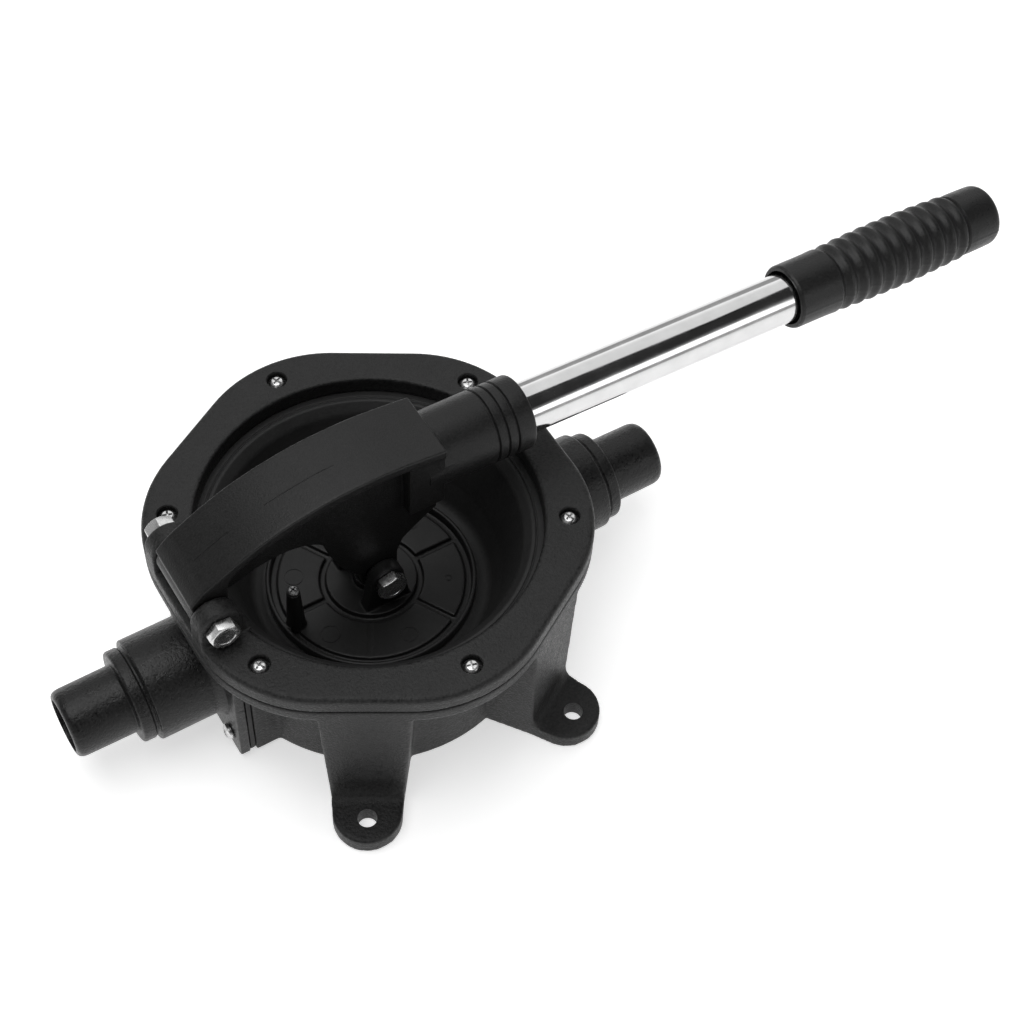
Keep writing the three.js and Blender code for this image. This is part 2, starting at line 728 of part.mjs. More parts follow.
// ---------------------------------------------------------------- hose ports and flap valves
// port along +X: the chamber version leaves room for a flap to swing outwards
function hosePort(chamber) {
  const spigot = turned([
    [0, PORT_FLANGE_IN_X],
    [HOSE_LARGE_R, PORT_FLANGE_IN_X],
    [HOSE_LARGE_R, LARGE_END_X - 0.8],
    [HOSE_LARGE_R - 0.8, LARGE_END_X],
    [COLLAR_R + 0.2, LARGE_END_X],
    [COLLAR_R - 0.5, LARGE_END_X + 0.6],
    [COLLAR_R - 0.5, LARGE_END_X + 1.2],
    [COLLAR_R, LARGE_END_X + 1.8],
    [COLLAR_R, COLLAR_X - 1.2],
    [COLLAR_R - 1.2, COLLAR_X],
    [HOSE_SMALL_R, COLLAR_X + 0.4],
    [HOSE_SMALL_R - 0.2, PORT_TIP_X - 3],
    [HOSE_SMALL_R - 1.2, PORT_TIP_X - 0.8],
    [HOSE_SMALL_R - 2.2, PORT_TIP_X],
    [0, PORT_TIP_X],
  ], 28);
  const square = roundedSquare(FLANGE_HALF, 2.5);
  const flange = prism(square, PORT_FLANGE_IN_X, PORT_FLANGE_OUT_X, 3);
  const root = turned([
    [0, PORT_FLANGE_OUT_X - 1],
    [HOSE_LARGE_R + 2.2, PORT_FLANGE_OUT_X - 1],
    [HOSE_LARGE_R + 2.2, PORT_FLANGE_OUT_X],
    [HOSE_LARGE_R + 0.7, PORT_FLANGE_OUT_X + 0.7],
    [HOSE_LARGE_R, PORT_FLANGE_OUT_X + 2.2],
    [0, PORT_FLANGE_OUT_X + 2.2],
  ], 28);
  const mouth = chamber ? FLAP_CHAMBER_R : SEAT_BORE_R;
  const deep = chamber ? LARGE_END_X - 3.5 : PORT_FLANGE_IN_X + 12;
  const bore = turned([
    [0, PORT_FLANGE_IN_X - 1],
    [mouth, PORT_FLANGE_IN_X - 1],
    [mouth, deep],
    [PORT_BORE_R, deep + 4],
    [PORT_BORE_R, PORT_TIP_X + 1],
    [0, PORT_TIP_X + 1],
  ], 24);
  const holes = [];
  for (const a of [-PORT_SCREW_Z, PORT_SCREW_Z]) {
    for (const b of [-PORT_SCREW_Y, PORT_SCREW_Y]) {
      const hole = rod(2.4, PORT_FLANGE_IN_X - 1, PORT_FLANGE_OUT_X + 1, 8);
      holes.push(hole.translate([a, b, 0]));
    }
  }
  return alongX(cut(join(spigot, flange, root), bore, ...holes));
}

function roundedSquare(half, radius) {
  const shape = new THREE.Shape();
  const inner = half - radius;
  const corners = [[inner, -inner, -90], [inner, inner, 0], [-inner, inner, 90], [-inner, -inner, 180]];
  for (const [x, y, from] of corners) {
    const start = THREE.MathUtils.degToRad(from);
    shape.absarc(x, y, radius, start, start + Math.PI / 2, false);
  }
  return shape;
}

// square rubber seal with a round window for the flap
function valveGasket() {
  const sheet = prism(roundedSquare(FLANGE_HALF - 0.4, 2.5), GASKET_IN_X, GASKET_OUT_X, 3);
  const window = rod(FLAP_R + 0.8, GASKET_IN_X - 1, GASKET_OUT_X + 1, 24);
  const holes = [];
  for (const a of [-PORT_SCREW_Z, PORT_SCREW_Z]) {
    for (const b of [-PORT_SCREW_Y, PORT_SCREW_Y]) {
      holes.push(rod(2.4, GASKET_IN_X - 1, GASKET_OUT_X + 1, 8).translate([a, b, 0]));
    }
  }
  return alongX(cut(sheet, window, ...holes));
}

// flap disc, hinge line at its own origin, hanging down -Z, thickness along X
function valveFlap() {
  const disc = rod(FLAP_R - 0.6, -FLAP_THICK / 2, FLAP_THICK / 2, 24);
  return alongX(disc).translate([0, 0, -FLAP_HINGE_DROP]);
}

// ---------------------------------------------------------------- assembly
const pump = new THREE.Group();

pump.add(mesh("pump_body", pumpBody(), bodyPlastic()));
pump.add(mesh("clamp_ring", clampRing(), bodyPlastic()));

SCREW_ANGLES.forEach((angle, i) => {
  const screw = mesh(`clamp_screw_${i + 1}`, panScrew(CLAMP_HEAD_R, 2.4, 2, CLAMP_SCREW_LENGTH), zincSteel());
  const [x, y] = polar(SCREW_CIRCLE_R, angle);
  screw.position.set(x, y, COUNTERBORE_Z + GAP);
  screw.rotation.z = THREE.MathUtils.degToRad(20 + 47 * i);
  pump.add(screw);
});

pump.add(mesh("diaphragm", diaphragm(), blackRubber()));
pump.add(mesh("upper_plate", upperPlate(), platePlastic()));
pump.add(mesh("lower_plate", lowerPlate(), platePlastic()));
pump.add(mesh("plate_bolt", plateBolt(), zincSteel()));

const postScrew = mesh("post_screw", panScrew(2.2, 1.6, 1.1, 6), zincSteel());
postScrew.position.set(POST_X, POST_Y, PLATE_FLOOR_Z + POST_HEIGHT + GAP);
pump.add(postScrew);

const clevisBolt = mesh("clevis_bolt", hexBolt(34.6), zincSteel());
clevisBolt.position.set(PIN_X, -CHEEK_OUT_Y - GAP, PIN_Z);
pump.add(clevisBolt);

const clevisNut = mesh("clevis_nut", hexNut(), zincSteel());
clevisNut.position.set(PIN_X, CHEEK_OUT_Y + GAP, PIN_Z);
pump.add(clevisNut);

// pivot hardware, clamped by the ring's ears
const pivotFace = EAR_OUT_Y + GAP;
const pivotBoltLength = 2 * pivotFace + NUT_H + THREAD_END;
const pivotBolt = mesh("pivot_bolt", hexBolt(pivotBoltLength), zincSteel());
pivotBolt.position.set(PIVOT_X, -pivotFace, PIVOT_Z);
pump.add(pivotBolt);

const pivotNut = mesh("pivot_nut", hexNut(), zincSteel());
pivotNut.position.set(PIVOT_X, pivotFace, PIVOT_Z);
pump.add(pivotNut);

// lever with the handle in its socket
const lever = new THREE.Group();
lever.position.set(PIVOT_X, 0, PIVOT_Z);
lever.add(mesh("lever_arm", leverArm(), leverPlastic()));

const handle = new THREE.Group();
handle.position.set(TUBE_AXIS_DX, 0, TUBE_AXIS_DZ);
handle.rotation.y = THREE.MathUtils.degToRad(90 + TUBE_TILT_DEG);
handle.add(mesh("handle_tube", handleTube(), polishedTube()));
handle.add(mesh("handle_grip", handleGrip(), gripRubber()));
lever.add(handle);
pump.add(lever);

// inlet on -X with its flap inside the bowl's chamber, outlet on +X with its flap in the port
const inlet = new THREE.Group();
inlet.position.z = PORT_AXIS_Z;
inlet.rotation.z = Math.PI;
inlet.add(mesh("inlet_port", hosePort(false), bodyPlastic()));
inlet.add(mesh("inlet_gasket", valveGasket(), blackRubber()));
pump.add(inlet);

const outlet = new THREE.Group();
outlet.position.z = PORT_AXIS_Z;
outlet.add(mesh("outlet_port", hosePort(true), bodyPlastic()));
outlet.add(mesh("outlet_gasket", valveGasket(), blackRubber()));
pump.add(outlet);

const flapX = (GASKET_IN_X + GASKET_OUT_X) / 2;
const inletFlap = mesh("inlet_flap", valveFlap(), blackRubber());
inletFlap.position.set(-flapX, 0, PORT_AXIS_Z + FLAP_HINGE_DROP);
pump.add(inletFlap);

const outletFlap = mesh("outlet_flap", valveFlap(), blackRubber());
outletFlap.position.set(flapX, 0, PORT_AXIS_Z + FLAP_HINGE_DROP);
pump.add(outletFlap);

for (const [group, label] of [[inlet, "inlet"], [outlet, "outlet"]]) {
  let count = 0;
  for (const y of [-PORT_SCREW_Y, PORT_SCREW_Y]) {
    for (const z of [-PORT_SCREW_Z, PORT_SCREW_Z]) {
      count += 1;
      const solidScrew = panScrew(3.2, 2.2, 2, PORT_SCREW_LENGTH);
      const screw = mesh(`${label}_screw_${count}`, solidScrew, zincSteel());
      screw.position.set(PORT_FLANGE_OUT_X + GAP, y, z);
      screw.rotation.set(0, Math.PI / 2, 0);
      group.add(screw);
    }
  }
}

export default pump;
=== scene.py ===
"""Looks of a hand-operated diaphragm bilge pump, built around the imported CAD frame.

Each CAD piece is replaced by a finer one of the same size: fillets, mould lines, threads, recesses.
Shapes are modelled in millimetres in the CAD frame and scaled to metres as they are finished.
"""
import json
import math

import bmesh
import bpy
import numpy as np
from mathutils import Matrix, Vector


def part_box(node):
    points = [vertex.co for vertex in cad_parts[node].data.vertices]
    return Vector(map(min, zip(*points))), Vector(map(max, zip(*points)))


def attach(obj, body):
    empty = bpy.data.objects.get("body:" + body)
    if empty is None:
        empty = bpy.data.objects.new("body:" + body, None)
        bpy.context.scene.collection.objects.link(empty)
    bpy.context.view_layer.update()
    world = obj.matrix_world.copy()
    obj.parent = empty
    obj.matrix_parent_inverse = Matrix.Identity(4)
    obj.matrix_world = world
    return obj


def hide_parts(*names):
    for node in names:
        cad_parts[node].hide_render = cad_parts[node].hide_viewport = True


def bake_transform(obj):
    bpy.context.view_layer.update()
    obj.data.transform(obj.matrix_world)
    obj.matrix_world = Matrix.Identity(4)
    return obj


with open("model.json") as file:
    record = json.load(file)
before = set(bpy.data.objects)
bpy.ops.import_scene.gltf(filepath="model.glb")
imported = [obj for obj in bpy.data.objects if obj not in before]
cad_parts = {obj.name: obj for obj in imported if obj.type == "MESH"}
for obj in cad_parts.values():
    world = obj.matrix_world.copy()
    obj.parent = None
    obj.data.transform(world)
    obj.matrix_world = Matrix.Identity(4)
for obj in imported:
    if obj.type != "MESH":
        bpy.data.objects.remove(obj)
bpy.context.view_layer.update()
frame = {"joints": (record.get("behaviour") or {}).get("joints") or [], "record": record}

MM = 0.001
SCENE = bpy.context.scene
JOINTS = {joint["name"]: joint for joint in frame["joints"]}
BODY_OF = {node: body for body, nodes in frame["record"]["behaviour"]["bodies"].items() for node in nodes}
SLOT_OF = {row["node"]: row["material_slot"] for row in frame["record"]["subparts"]}

# how much coarser the moulded skins are in a quick try
COARSE = 1.0


def corners(node):
    """Lowest and highest corner of a CAD node, in millimetres."""
    low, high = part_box(node)
    return low / MM, high / MM


# ------------------------------------------------------------------ camera
CAMERA_TARGET = Vector((0.0382, -0.0318, 0.0842))
CAMERA_DISTANCE = 0.645
CAMERA_AZIMUTH = math.radians(-34.81)
CAMERA_ELEVATION = math.radians(54.2)
CAMERA_ROLL = math.radians(4.15)
CAMERA_LENS = 66.42
CAMERA_SENSOR = 36


def add_camera():
    flat = math.cos(CAMERA_ELEVATION)
    back = Vector((
        math.sin(CAMERA_AZIMUTH) * flat,
        -math.cos(CAMERA_AZIMUTH) * flat,
        math.sin(CAMERA_ELEVATION),
    ))
    level = Vector((math.cos(CAMERA_AZIMUTH), math.sin(CAMERA_AZIMUTH), 0))
    upright = back.cross(level)
    right = math.cos(CAMERA_ROLL) * level + math.sin(CAMERA_ROLL) * upright
    up = back.cross(right)
    data = bpy.data.cameras.new("camera")
    data.lens = CAMERA_LENS
    data.sensor_width = CAMERA_SENSOR
    camera = bpy.data.objects.new("camera", data)
    camera.matrix_world = Matrix.LocRotScale(
        CAMERA_TARGET + back * CAMERA_DISTANCE, Matrix((right, up, back)).transposed(), None
    )
    SCENE.collection.objects.link(camera)
    SCENE.camera = camera


add_camera()


# ------------------------------------------------------------------ outlines
# the largest share of a side that the round corner at one end may use
LONGEST_SHARE = 0.49


def arc(centre, radius, start, end, count):
    """Points on a circle from one angle to another, in degrees."""
    angles = np.radians(np.linspace(start, end, count))
    return [(centre[0] + radius * math.cos(a), centre[1] + radius * math.sin(a)) for a in angles]


def quadratic(start, pull, end, t):
    """The point at t, from 0 to 1, on a quadratic curve."""
    return tuple(start * (1 - t) ** 2 + pull * 2 * t * (1 - t) + end * t * t)


def softened(points, closed=False, steps=5):
    """Points given as (a, b) or (a, b, radius): corners with a radius become round."""
    path = []
    count = len(points)
    for i, point in enumerate(points):
        here = Vector(point[:2])
        inner = closed or 0 < i < count - 1
        if len(point) < 3 or not inner:
            path.append(tuple(here))
            continue
        before = Vector(points[i - 1][:2]) - here
        after = Vector(points[(i + 1) % count][:2]) - here
        half = before.angle(after) / 2
        most = LONGEST_SHARE
        reach = min(point[2] / math.tan(half), before.length * most, after.length * most)
        start = here + before.normalized() * reach
        end = here + after.normalized() * reach
        path += [quadratic(start, here, end, k / steps) for k in range(steps + 1)]
    return path


def smooth_through(points, per_span=4):
    """A Catmull-Rom curve through the points."""
    points = [Vector(p) for p in points]
    ends = [2 * points[0] - points[1]] + points + [2 * points[-1] - points[-2]]
    path = []
    for a, b, c, d in zip(ends, ends[1:], ends[2:], ends[3:]):
        for k in range(per_span):
            t = k / per_span
            square = (2 * a - 5 * b + 4 * c - d) * t**2
            cube = (3 * b - a - 3 * c + d) * t**3
            path.append(tuple(0.5 * (2 * b + (c - a) * t + square + cube)))
    path.append(tuple(points[-1]))
    return path


def bent(start, pull, end, count=8):
    """Points of a quadratic curve."""
    start, pull, end = Vector(start), Vector(pull), Vector(end)
    return [quadratic(start, pull, end, t) for t in np.linspace(0, 1, count)]


def rounded_hexagon(inradius, corner_radius, per_corner=18):
    """Hexagon with its flats across +X, and round corners."""
    reach = (inradius - corner_radius) / math.cos(math.pi / 6)
    points = []
    for i in range(6):
        direction = 30 + 60 * i
        turn = math.radians(direction)
        centre = (reach * math.cos(turn), reach * math.sin(turn))
        points += arc(centre, corner_radius, direction - 30, direction + 30, per_corner)
    return points


def rounded_square(half, radius, per_corner=6):
    inner = half - radius
    points = []
    for k, centre in enumerate(((inner, -inner), (inner, inner), (-inner, inner), (-inner, -inner))):
        start = 90 * (k - 1)
        points += arc(centre, radius, start, start + 90, per_corner)
    return points


# ------------------------------------------------------------------ solids
ALONG_X = Matrix.Rotation(math.pi / 2, 4, "Y")
ALONG_Y = Matrix.Rotation(-math.pi / 2, 4, "X")
# for an outline drawn in (x, z), with its thickness along Y
ON_SIDE = Matrix(((1, 0, 0, 0), (0, 0, 1, 0), (0, 1, 0, 0), (0, 0, 0, 1)))
# points closer than this are one point, and a smaller radius is on the axis
SAME_POINT = 1e-5
ON_AXIS = 1e-6


def solid(vertices, faces, place=None):
    mesh = bpy.data.meshes.new("solid")
    mesh.from_pydata(vertices, [], faces)
    if place is not None:
        mesh.transform(place)
    work = bmesh.new()
    work.from_mesh(mesh)
    bmesh.ops.remove_doubles(work, verts=work.verts, dist=SAME_POINT)
    bmesh.ops.recalc_face_normals(work, faces=work.faces)
    work.to_mesh(mesh)
    work.free()
    obj = bpy.data.objects.new("solid", mesh)
    SCENE.collection.objects.link(obj)
    return obj


def stacked(sections, place=None):
    """Closed solid through outlines of equal length, each [(x, y, z), ...], capped at both ends."""
    count = len(sections[0])
    vertices = [point for section in sections for point in section]
    faces = [list(range(count)), list(range(len(vertices) - count, len(vertices)))]
    for level in range(len(sections) - 1):
        for i in range(count):
            a = level * count + i
            b = level * count + (i + 1) % count
            faces.append((a, b, b + count, a + count))
    return solid(vertices, faces, place)


def prism(outline, low, high, place=None):
    return stacked([[(x, y, z) for x, y in outline] for z in (low, high)], place)


def block(low, high):
    outline = [(low[0], low[1]), (high[0], low[1]), (high[0], high[1]), (low[0], high[1])]
    return prism(outline, low[2], high[2])


def turned(profile, segments=128, place=None, swell=None):
    """Solid of revolution about Z from (radius, z) points.

    The points start and end on the axis, or close on themselves.
    swell(angle, z) is added to the radius off the axis, where it is given.
    """
    closed = profile[0][0] > ON_AXIS or profile[-1][0] > ON_AXIS
    angles = [2 * math.pi * k / segments for k in range(segments)]
    vertices, rings = [], []
    for radius, z in profile:
        if radius < ON_AXIS:
            rings.append([len(vertices)] * segments)
            vertices.append((0, 0, z))
            continue
        rings.append(list(range(len(vertices), len(vertices) + segments)))
        for angle in angles:
            r = radius + (swell(angle, z) if swell else 0)
            vertices.append((r * math.cos(angle), r * math.sin(angle), z))
    faces = []
    pairs = list(zip(rings, rings[1:])) + ([(rings[-1], rings[0])] if closed else [])
    for lower, upper in pairs:
        for k in range(segments):
            m = (k + 1) % segments
            face = list(dict.fromkeys((lower[k], lower[m], upper[m], upper[k])))
            if len(face) > 2:
                faces.append(face)
    return solid(vertices, faces, place)


def rod(radius, low, high, segments=48, place=None):
    return turned([(0, low), (radius, low), (radius, high), (0, high)], segments, place)


def moved(x=0.0, y=0.0, z=0.0):
    return Matrix.Translation((x, y, z))


def spun(degrees, axis="Z"):
    return Matrix.Rotation(math.radians(degrees), 4, axis)


# ------------------------------------------------------------------ mesh work
def apply_modifiers(obj):
    bpy.context.view_layer.update()
    graph = bpy.context.evaluated_depsgraph_get()
    mesh = bpy.data.meshes.new_from_object(obj.evaluated_get(graph), depsgraph=graph)
    obj.modifiers.clear()
    obj.data = mesh


def combine(obj, others, operation):
    """Boolean UNION, DIFFERENCE or INTERSECT with each of the others, which are used up."""
    for other in others:
        modifier = obj.modifiers.new("combine", "BOOLEAN")
        modifier.operation = operation
        modifier.solver = "MANIFOLD"
        modifier.object = other
    apply_modifiers(obj)
    for other in others:
        bpy.data.objects.remove(other)
    return obj


def joined(obj, *others):
    return combine(obj, others, "UNION")


def cut(obj, *others):
    return combine(obj, others, "DIFFERENCE")


def bevelled(obj, width, segments=3, angle=35):
    modifier = obj.modifiers.new("edges", "BEVEL")
    modifier.width = width
    modifier.segments = segments
    modifier.angle_limit = math.radians(angle)
    modifier.use_clamp_overlap = False
    apply_modifiers(obj)
    return obj


def relaxed(mesh, passes):
    """Pulls each vertex halfway to the middle of its neighbours, a few times."""
    edges = np.zeros(len(mesh.edges) * 2, np.int64)
    mesh.edges.foreach_get("vertices", edges)
    edges = edges.reshape(-1, 2)
    ends = np.concatenate([edges[:, 0], edges[:, 1]])
    others = np.concatenate([edges[:, 1], edges[:, 0]])
    count = len(mesh.vertices)
    share = np.maximum(np.bincount(ends, minlength=count), 1)
    co = np.zeros(count * 3, np.float32)
    mesh.vertices.foreach_get("co", co)
    co = co.reshape(-1, 3).astype(float)
    for _ in range(passes):
        mean = np.stack([np.bincount(ends, co[others, k], count) / share for k in range(3)], 1)
        co += 0.5 * (mean - co)
    mesh.vertices.foreach_set("co", co.astype(np.float32).ravel())
    mesh.update()


def moulded(obj, voxel, passes, keep):
    """One skin round the solid, its edges softened as a mould leaves them.

    keep is the share of the faces that stay once the skin is thinned out.
    """
    modifier = obj.modifiers.new("skin", "REMESH")
    modifier.mode = "VOXEL"
    modifier.voxel_size = voxel * COARSE
    apply_modifiers(obj)
    relaxed(obj.data, passes)
    modifier = obj.modifiers.new("thin", "DECIMATE")
    modifier.ratio = keep
    apply_modifiers(obj)
    return obj


def show(obj, node, material=None, crease=40, ride=True):
    """Finishes a piece: metres, shading, material, and the CAD node that it stands for."""
    obj.name = node + "_fine"
    obj.data.name = obj.name
    obj.data.transform(Matrix.Scale(MM, 4))
    obj.data.shade_smooth()
    obj.data.set_sharp_from_angle(angle=math.radians(crease))
    obj.data.materials.clear()
    obj.data.materials.append(material or MATERIALS[SLOT_OF[node]])
    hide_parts(node)
    if ride:
        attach(obj, BODY_OF[node])
    return obj


# ------------------------------------------------------------------ materials
# most values of a noise texture lie between these two
USUAL_NOISE = (0.3, 0.7)
# depths of the bumps in the surfaces, in metres
GRAIN_DEPTH = 0.0003
BRUSHING_DEPTH = 0.00005


class Nodes:
    """Short way to lay out a material's node tree, in object coordinates."""

    def __init__(self, name):
        self.material = bpy.data.materials.new(name)
        self.material.use_nodes = True
        self.tree = self.material.node_tree
        self.shader = self.tree.nodes["Principled BSDF"]
        self.place = self.tree.nodes.new("ShaderNodeTexCoord").outputs["Object"]

    def link(self, source, target):
        self.tree.links.new(source, target)

    def noise(self, scale, detail=3.0, roughness=0.55, stretch=None):
        node = self.tree.nodes.new("ShaderNodeTexNoise")
        node.inputs["Scale"].default_value = scale
        node.inputs["Detail"].default_value = detail
        node.inputs["Roughness"].default_value = roughness
        place = self.place
        if stretch:
            mapping = self.tree.nodes.new("ShaderNodeMapping")
            mapping.inputs["Scale"].default_value = stretch
            self.link(place, mapping.inputs["Vector"])
            place = mapping.outputs["Vector"]
        self.link(place, node.inputs["Vector"])
        return node.outputs["Fac"]

    def ranged(self, value, low, high):
        """Spreads a noise's usual values over a range."""
        node = self.tree.nodes.new("ShaderNodeMapRange")
        self.link(value, node.inputs["Value"])
        node.inputs["From Min"].default_value, node.inputs["From Max"].default_value = USUAL_NOISE
        node.inputs["To Min"].default_value = low
        node.inputs["To Max"].default_value = high
        return node.outputs["Result"]

    def added(self, a, b):
        node = self.tree.nodes.new("ShaderNodeMath")
        node.operation = "ADD"
        self.link(a, node.inputs[0])
        self.link(b, node.inputs[1])
        return node.outputs["Value"]

    def grey(self, value):
        """A neutral colour from one number."""
        node = self.tree.nodes.new("ShaderNodeCombineColor")
        for socket in node.inputs:
            self.link(value, socket)
        return node.outputs["Color"]

    def bump(self, height, strength, distance, before=None):
        node = self.tree.nodes.new("ShaderNodeBump")
        node.inputs["Strength"].default_value = strength
        node.inputs["Distance"].default_value = distance
        self.link(height, node.inputs["Height"])
        if before is not None:
            self.link(before, node.inputs["Normal"])
        return node.outputs["Normal"]

    def set(self, **values):
        for name, value in values.items():
            socket = self.shader.inputs[name.replace("_", " ")]
            if isinstance(value, (int, float)):
                socket.default_value = value
            else:
                self.link(value, socket)


def plastic(name, grey, roughness, grain, grain_scale, mottle, level, peel, uneven):
    """Moulded black plastic or rubber.

    grain and peel are the strengths of its fine and its broad bumps, mottle and uneven say how much
    its tone and its gloss change with the grain, and level is the strength of its reflections.
    """
    made = Nodes(name)
    fine = made.noise(grain_scale, detail=2, roughness=0.7)
    patches = made.noise(140, detail=4)
    clouds = made.ranged(made.noise(55, detail=4), grey * 0.92, grey * 1.08)
    tone = made.added(clouds, made.ranged(fine, -grey * mottle, grey * mottle))
    worn = made.ranged(patches, roughness - 0.03, roughness + 0.03)
    gloss = made.added(worn, made.ranged(fine, -uneven, uneven))
    broad = made.bump(made.noise(420, detail=3), peel, GRAIN_DEPTH)
    normal = made.bump(fine, grain, GRAIN_DEPTH, broad)
    made.set(Base_Color=made.grey(tone), Roughness=gloss, Normal=normal)
    made.shader.inputs["Specular IOR Level"].default_value = level
    return made.material


def steel(name, grey, roughness, brushing, stretch):
    """Bright plated or polished steel with faint marks along one direction."""
    made = Nodes(name)
    marks = made.noise(900, detail=5, stretch=stretch)
    stains = made.noise(120, detail=4)
    tone = made.ranged(stains, grey * 0.9, grey)
    dull = made.ranged(stains, roughness * 0.7, roughness * 1.3)
    gloss = made.added(dull, made.ranged(marks, -roughness * 0.3, roughness * 0.3))
    normal = made.bump(marks, brushing, BRUSHING_DEPTH)
    made.set(Base_Color=made.grey(tone), Roughness=gloss, Metallic=1.0, Normal=normal)
    return made.material


MATERIALS = {
    "body_plastic": plastic("moulded_black", 0.016, 0.46, grain=1.0, grain_scale=1100,
                            mottle=0.6, level=0.28, peel=0.3, uneven=0.16),
    "port_plastic": plastic("port_black", 0.009, 0.34, grain=0.7, grain_scale=1100,
                            mottle=0.4, level=0.3, peel=0.8, uneven=0.1),
    "plate_plastic": plastic("satin_plate", 0.014, 0.42, grain=0.1, grain_scale=900,
                             mottle=0.1, level=0.28, peel=0.1, uneven=0.02),
    "lever_plastic": plastic("satin_black", 0.010, 0.4, grain=0.5, grain_scale=1500,
                             mottle=0.4, level=0.29, peel=0.1, uneven=0.1),
    "rubber": plastic("black_rubber", 0.02, 0.55, grain=0.15, grain_scale=900,
                      mottle=0.15, level=0.3, peel=0.15, uneven=0.05),
    "grip_rubber": plastic("grip_black", 0.014, 0.36, grain=0.4, grain_scale=1300,
                           mottle=0.25, level=0.28, peel=0.2, uneven=0.08),
    "zinc_steel": steel("plated_steel", 0.72, 0.27, brushing=0.2, stretch=(1, 1, 1)),
    # painted shade: a darker copy of the plated steel for the small screw on the post, which sits in
    # shadow; only its higher roughness belongs to the steel itself
    "shaded_steel": steel("shaded_steel", 0.3, 0.4, brushing=0.3, stretch=(1, 1, 1)),
    "polished_tube": steel("polished_steel", 0.72, 0.12, brushing=0.04, stretch=(0.03, 1, 1)),
}

# ------------------------------------------------------------------ body
RING_LOW, RING_HIGH = corners("clamp_ring")
PIVOT = Vector(JOINTS["lever_pivot"]["pos_m"]) / MM
FLANGE_TOP = corners("pump_body")[1].z
FLANGE_LOW = FLANGE_TOP - 5.6
BOWL_R, BOWL_LOW_R, BOWL_FOOT_R, BOWL_CHAMFER = 60.5, 59.8, 58.2, 2
RING_BOTTOM = RING_LOW.z
RING_TOP = RING_BOTTOM + 7
RING_INRADIUS = RING_HIGH.x
RING_CORNER_R = 49
RING_BORE_R = 61.3
# hose ports: height of their axis, faces of the bosses, half width of their flanges and bosses
PORT_Z = 29
BOSS_FACE = 62.5
FLANGE_HALF = 27.4
# bores with room for a flap valve that opens in them, and without
FLAP_BORE_R, PLAIN_BORE_R = 16.4, 12
PORT_SCREW_Y = 20
PORT_SCREW_Z = 19
PORT_SCREWS = [(y, z) for y in (-PORT_SCREW_Y, PORT_SCREW_Y) for z in (-PORT_SCREW_Z, PORT_SCREW_Z)]
# legs and feet
FOOT_ANGLES = (59.8, 120.2, -120.2, -59.8)
FOOT_THICK, FOOT_END_R, FOOT_HOLE_AT, FOOT_HOLE_R, FOOT_TIP = 7, 12.4, 85, 3.5, 94.5
LEG_IN_R, LEG_TOP_HALF, LEG_LOW_HALF, LEG_SPREAD = 57, 15.8, 12.8, 2.2
# clamp screws
SCREW_ANGLES = (-30, 30, 90, 150, -150, -90)
SCREW_CIRCLE = 70
# clearance hole of the clamp screws and the port screws
SCREW_HOLE_R = 2.4
COUNTERBORE_R, COUNTERBORE_Z = 3.7, 67.4
# ears for the M6 pivot bolt
EAR_IN_Y, EAR_OUT_Y = 13.9, 21
BOLT_HOLE_R, BOLT_R = 3.25, 3.0
# clearance between a head or nut and its seat
SEAT_GAP = 0.3


def edge_levels(low, high, soft_low, soft_high, steps=5):
    """(z, inset) pairs of a side wall with round edges at its foot and top."""
    angles = np.radians(np.linspace(0, 90, steps))
    foot = [(low + soft_low * (1 - math.sin(a)), soft_low * (1 - math.cos(a))) for a in angles]
    top = [(high - soft_high * (1 - math.sin(a)), soft_high * (1 - math.cos(a))) for a in angles]
    return foot[::-1] + top


def bolt_hole(x, z):
    """Tool for an M6 clearance hole along Y."""
    return rod(BOLT_HOLE_R, -30, 30, 40, moved(x, 0, z) @ ALONG_Y)


def hexagon_plate(low, high, soft_low, soft_high):
    sections = []
    for z, inset in edge_levels(low, high, soft_low, soft_high):
        outline = rounded_hexagon(RING_INRADIUS - inset, RING_CORNER_R - inset)
        sections.append([(x, y, z) for x, y in outline])
    return stacked(sections)


def leg_and_foot(angle):
    """Leg under the flange with its foot, built on +X.

    The leg is wider against the bowl than at its front.
    """
    front, inside, top = RING_INRADIUS, LEG_IN_R, FLANGE_LOW + 1
    sections = []
    for x, extra in ((inside, LEG_SPREAD), (front, 0)):
        low, high = LEG_LOW_HALF + extra, LEG_TOP_HALF + extra
        sections.append([(x, -low, 0), (x, low, 0), (x, high, top), (x, -high, top)])
    leg = stacked(sections)
    outline = [(inside, -LEG_LOW_HALF), (front, -LEG_LOW_HALF)]
    outline += arc((FOOT_TIP - FOOT_END_R, 0), FOOT_END_R, -90, 90, 24)
    outline += [(front, LEG_LOW_HALF), (inside, LEG_LOW_HALF)]
    foot = prism(outline, 0, FOOT_THICK)
    reach, height = front + 5, FOOT_THICK + 6.5
    curve = [(front - 1, FOOT_THICK - 1), (reach, FOOT_THICK - 1), (reach, FOOT_THICK)]
    curve += bent((reach, FOOT_THICK), (front, FOOT_THICK), (front, height))[1:]
    curve += [(front - 1, height)]
    fillet = prism(curve, -LEG_LOW_HALF, LEG_LOW_HALF, ON_SIDE)
    made = joined(leg, foot, fillet)
    made.data.transform(spun(angle))
    return made


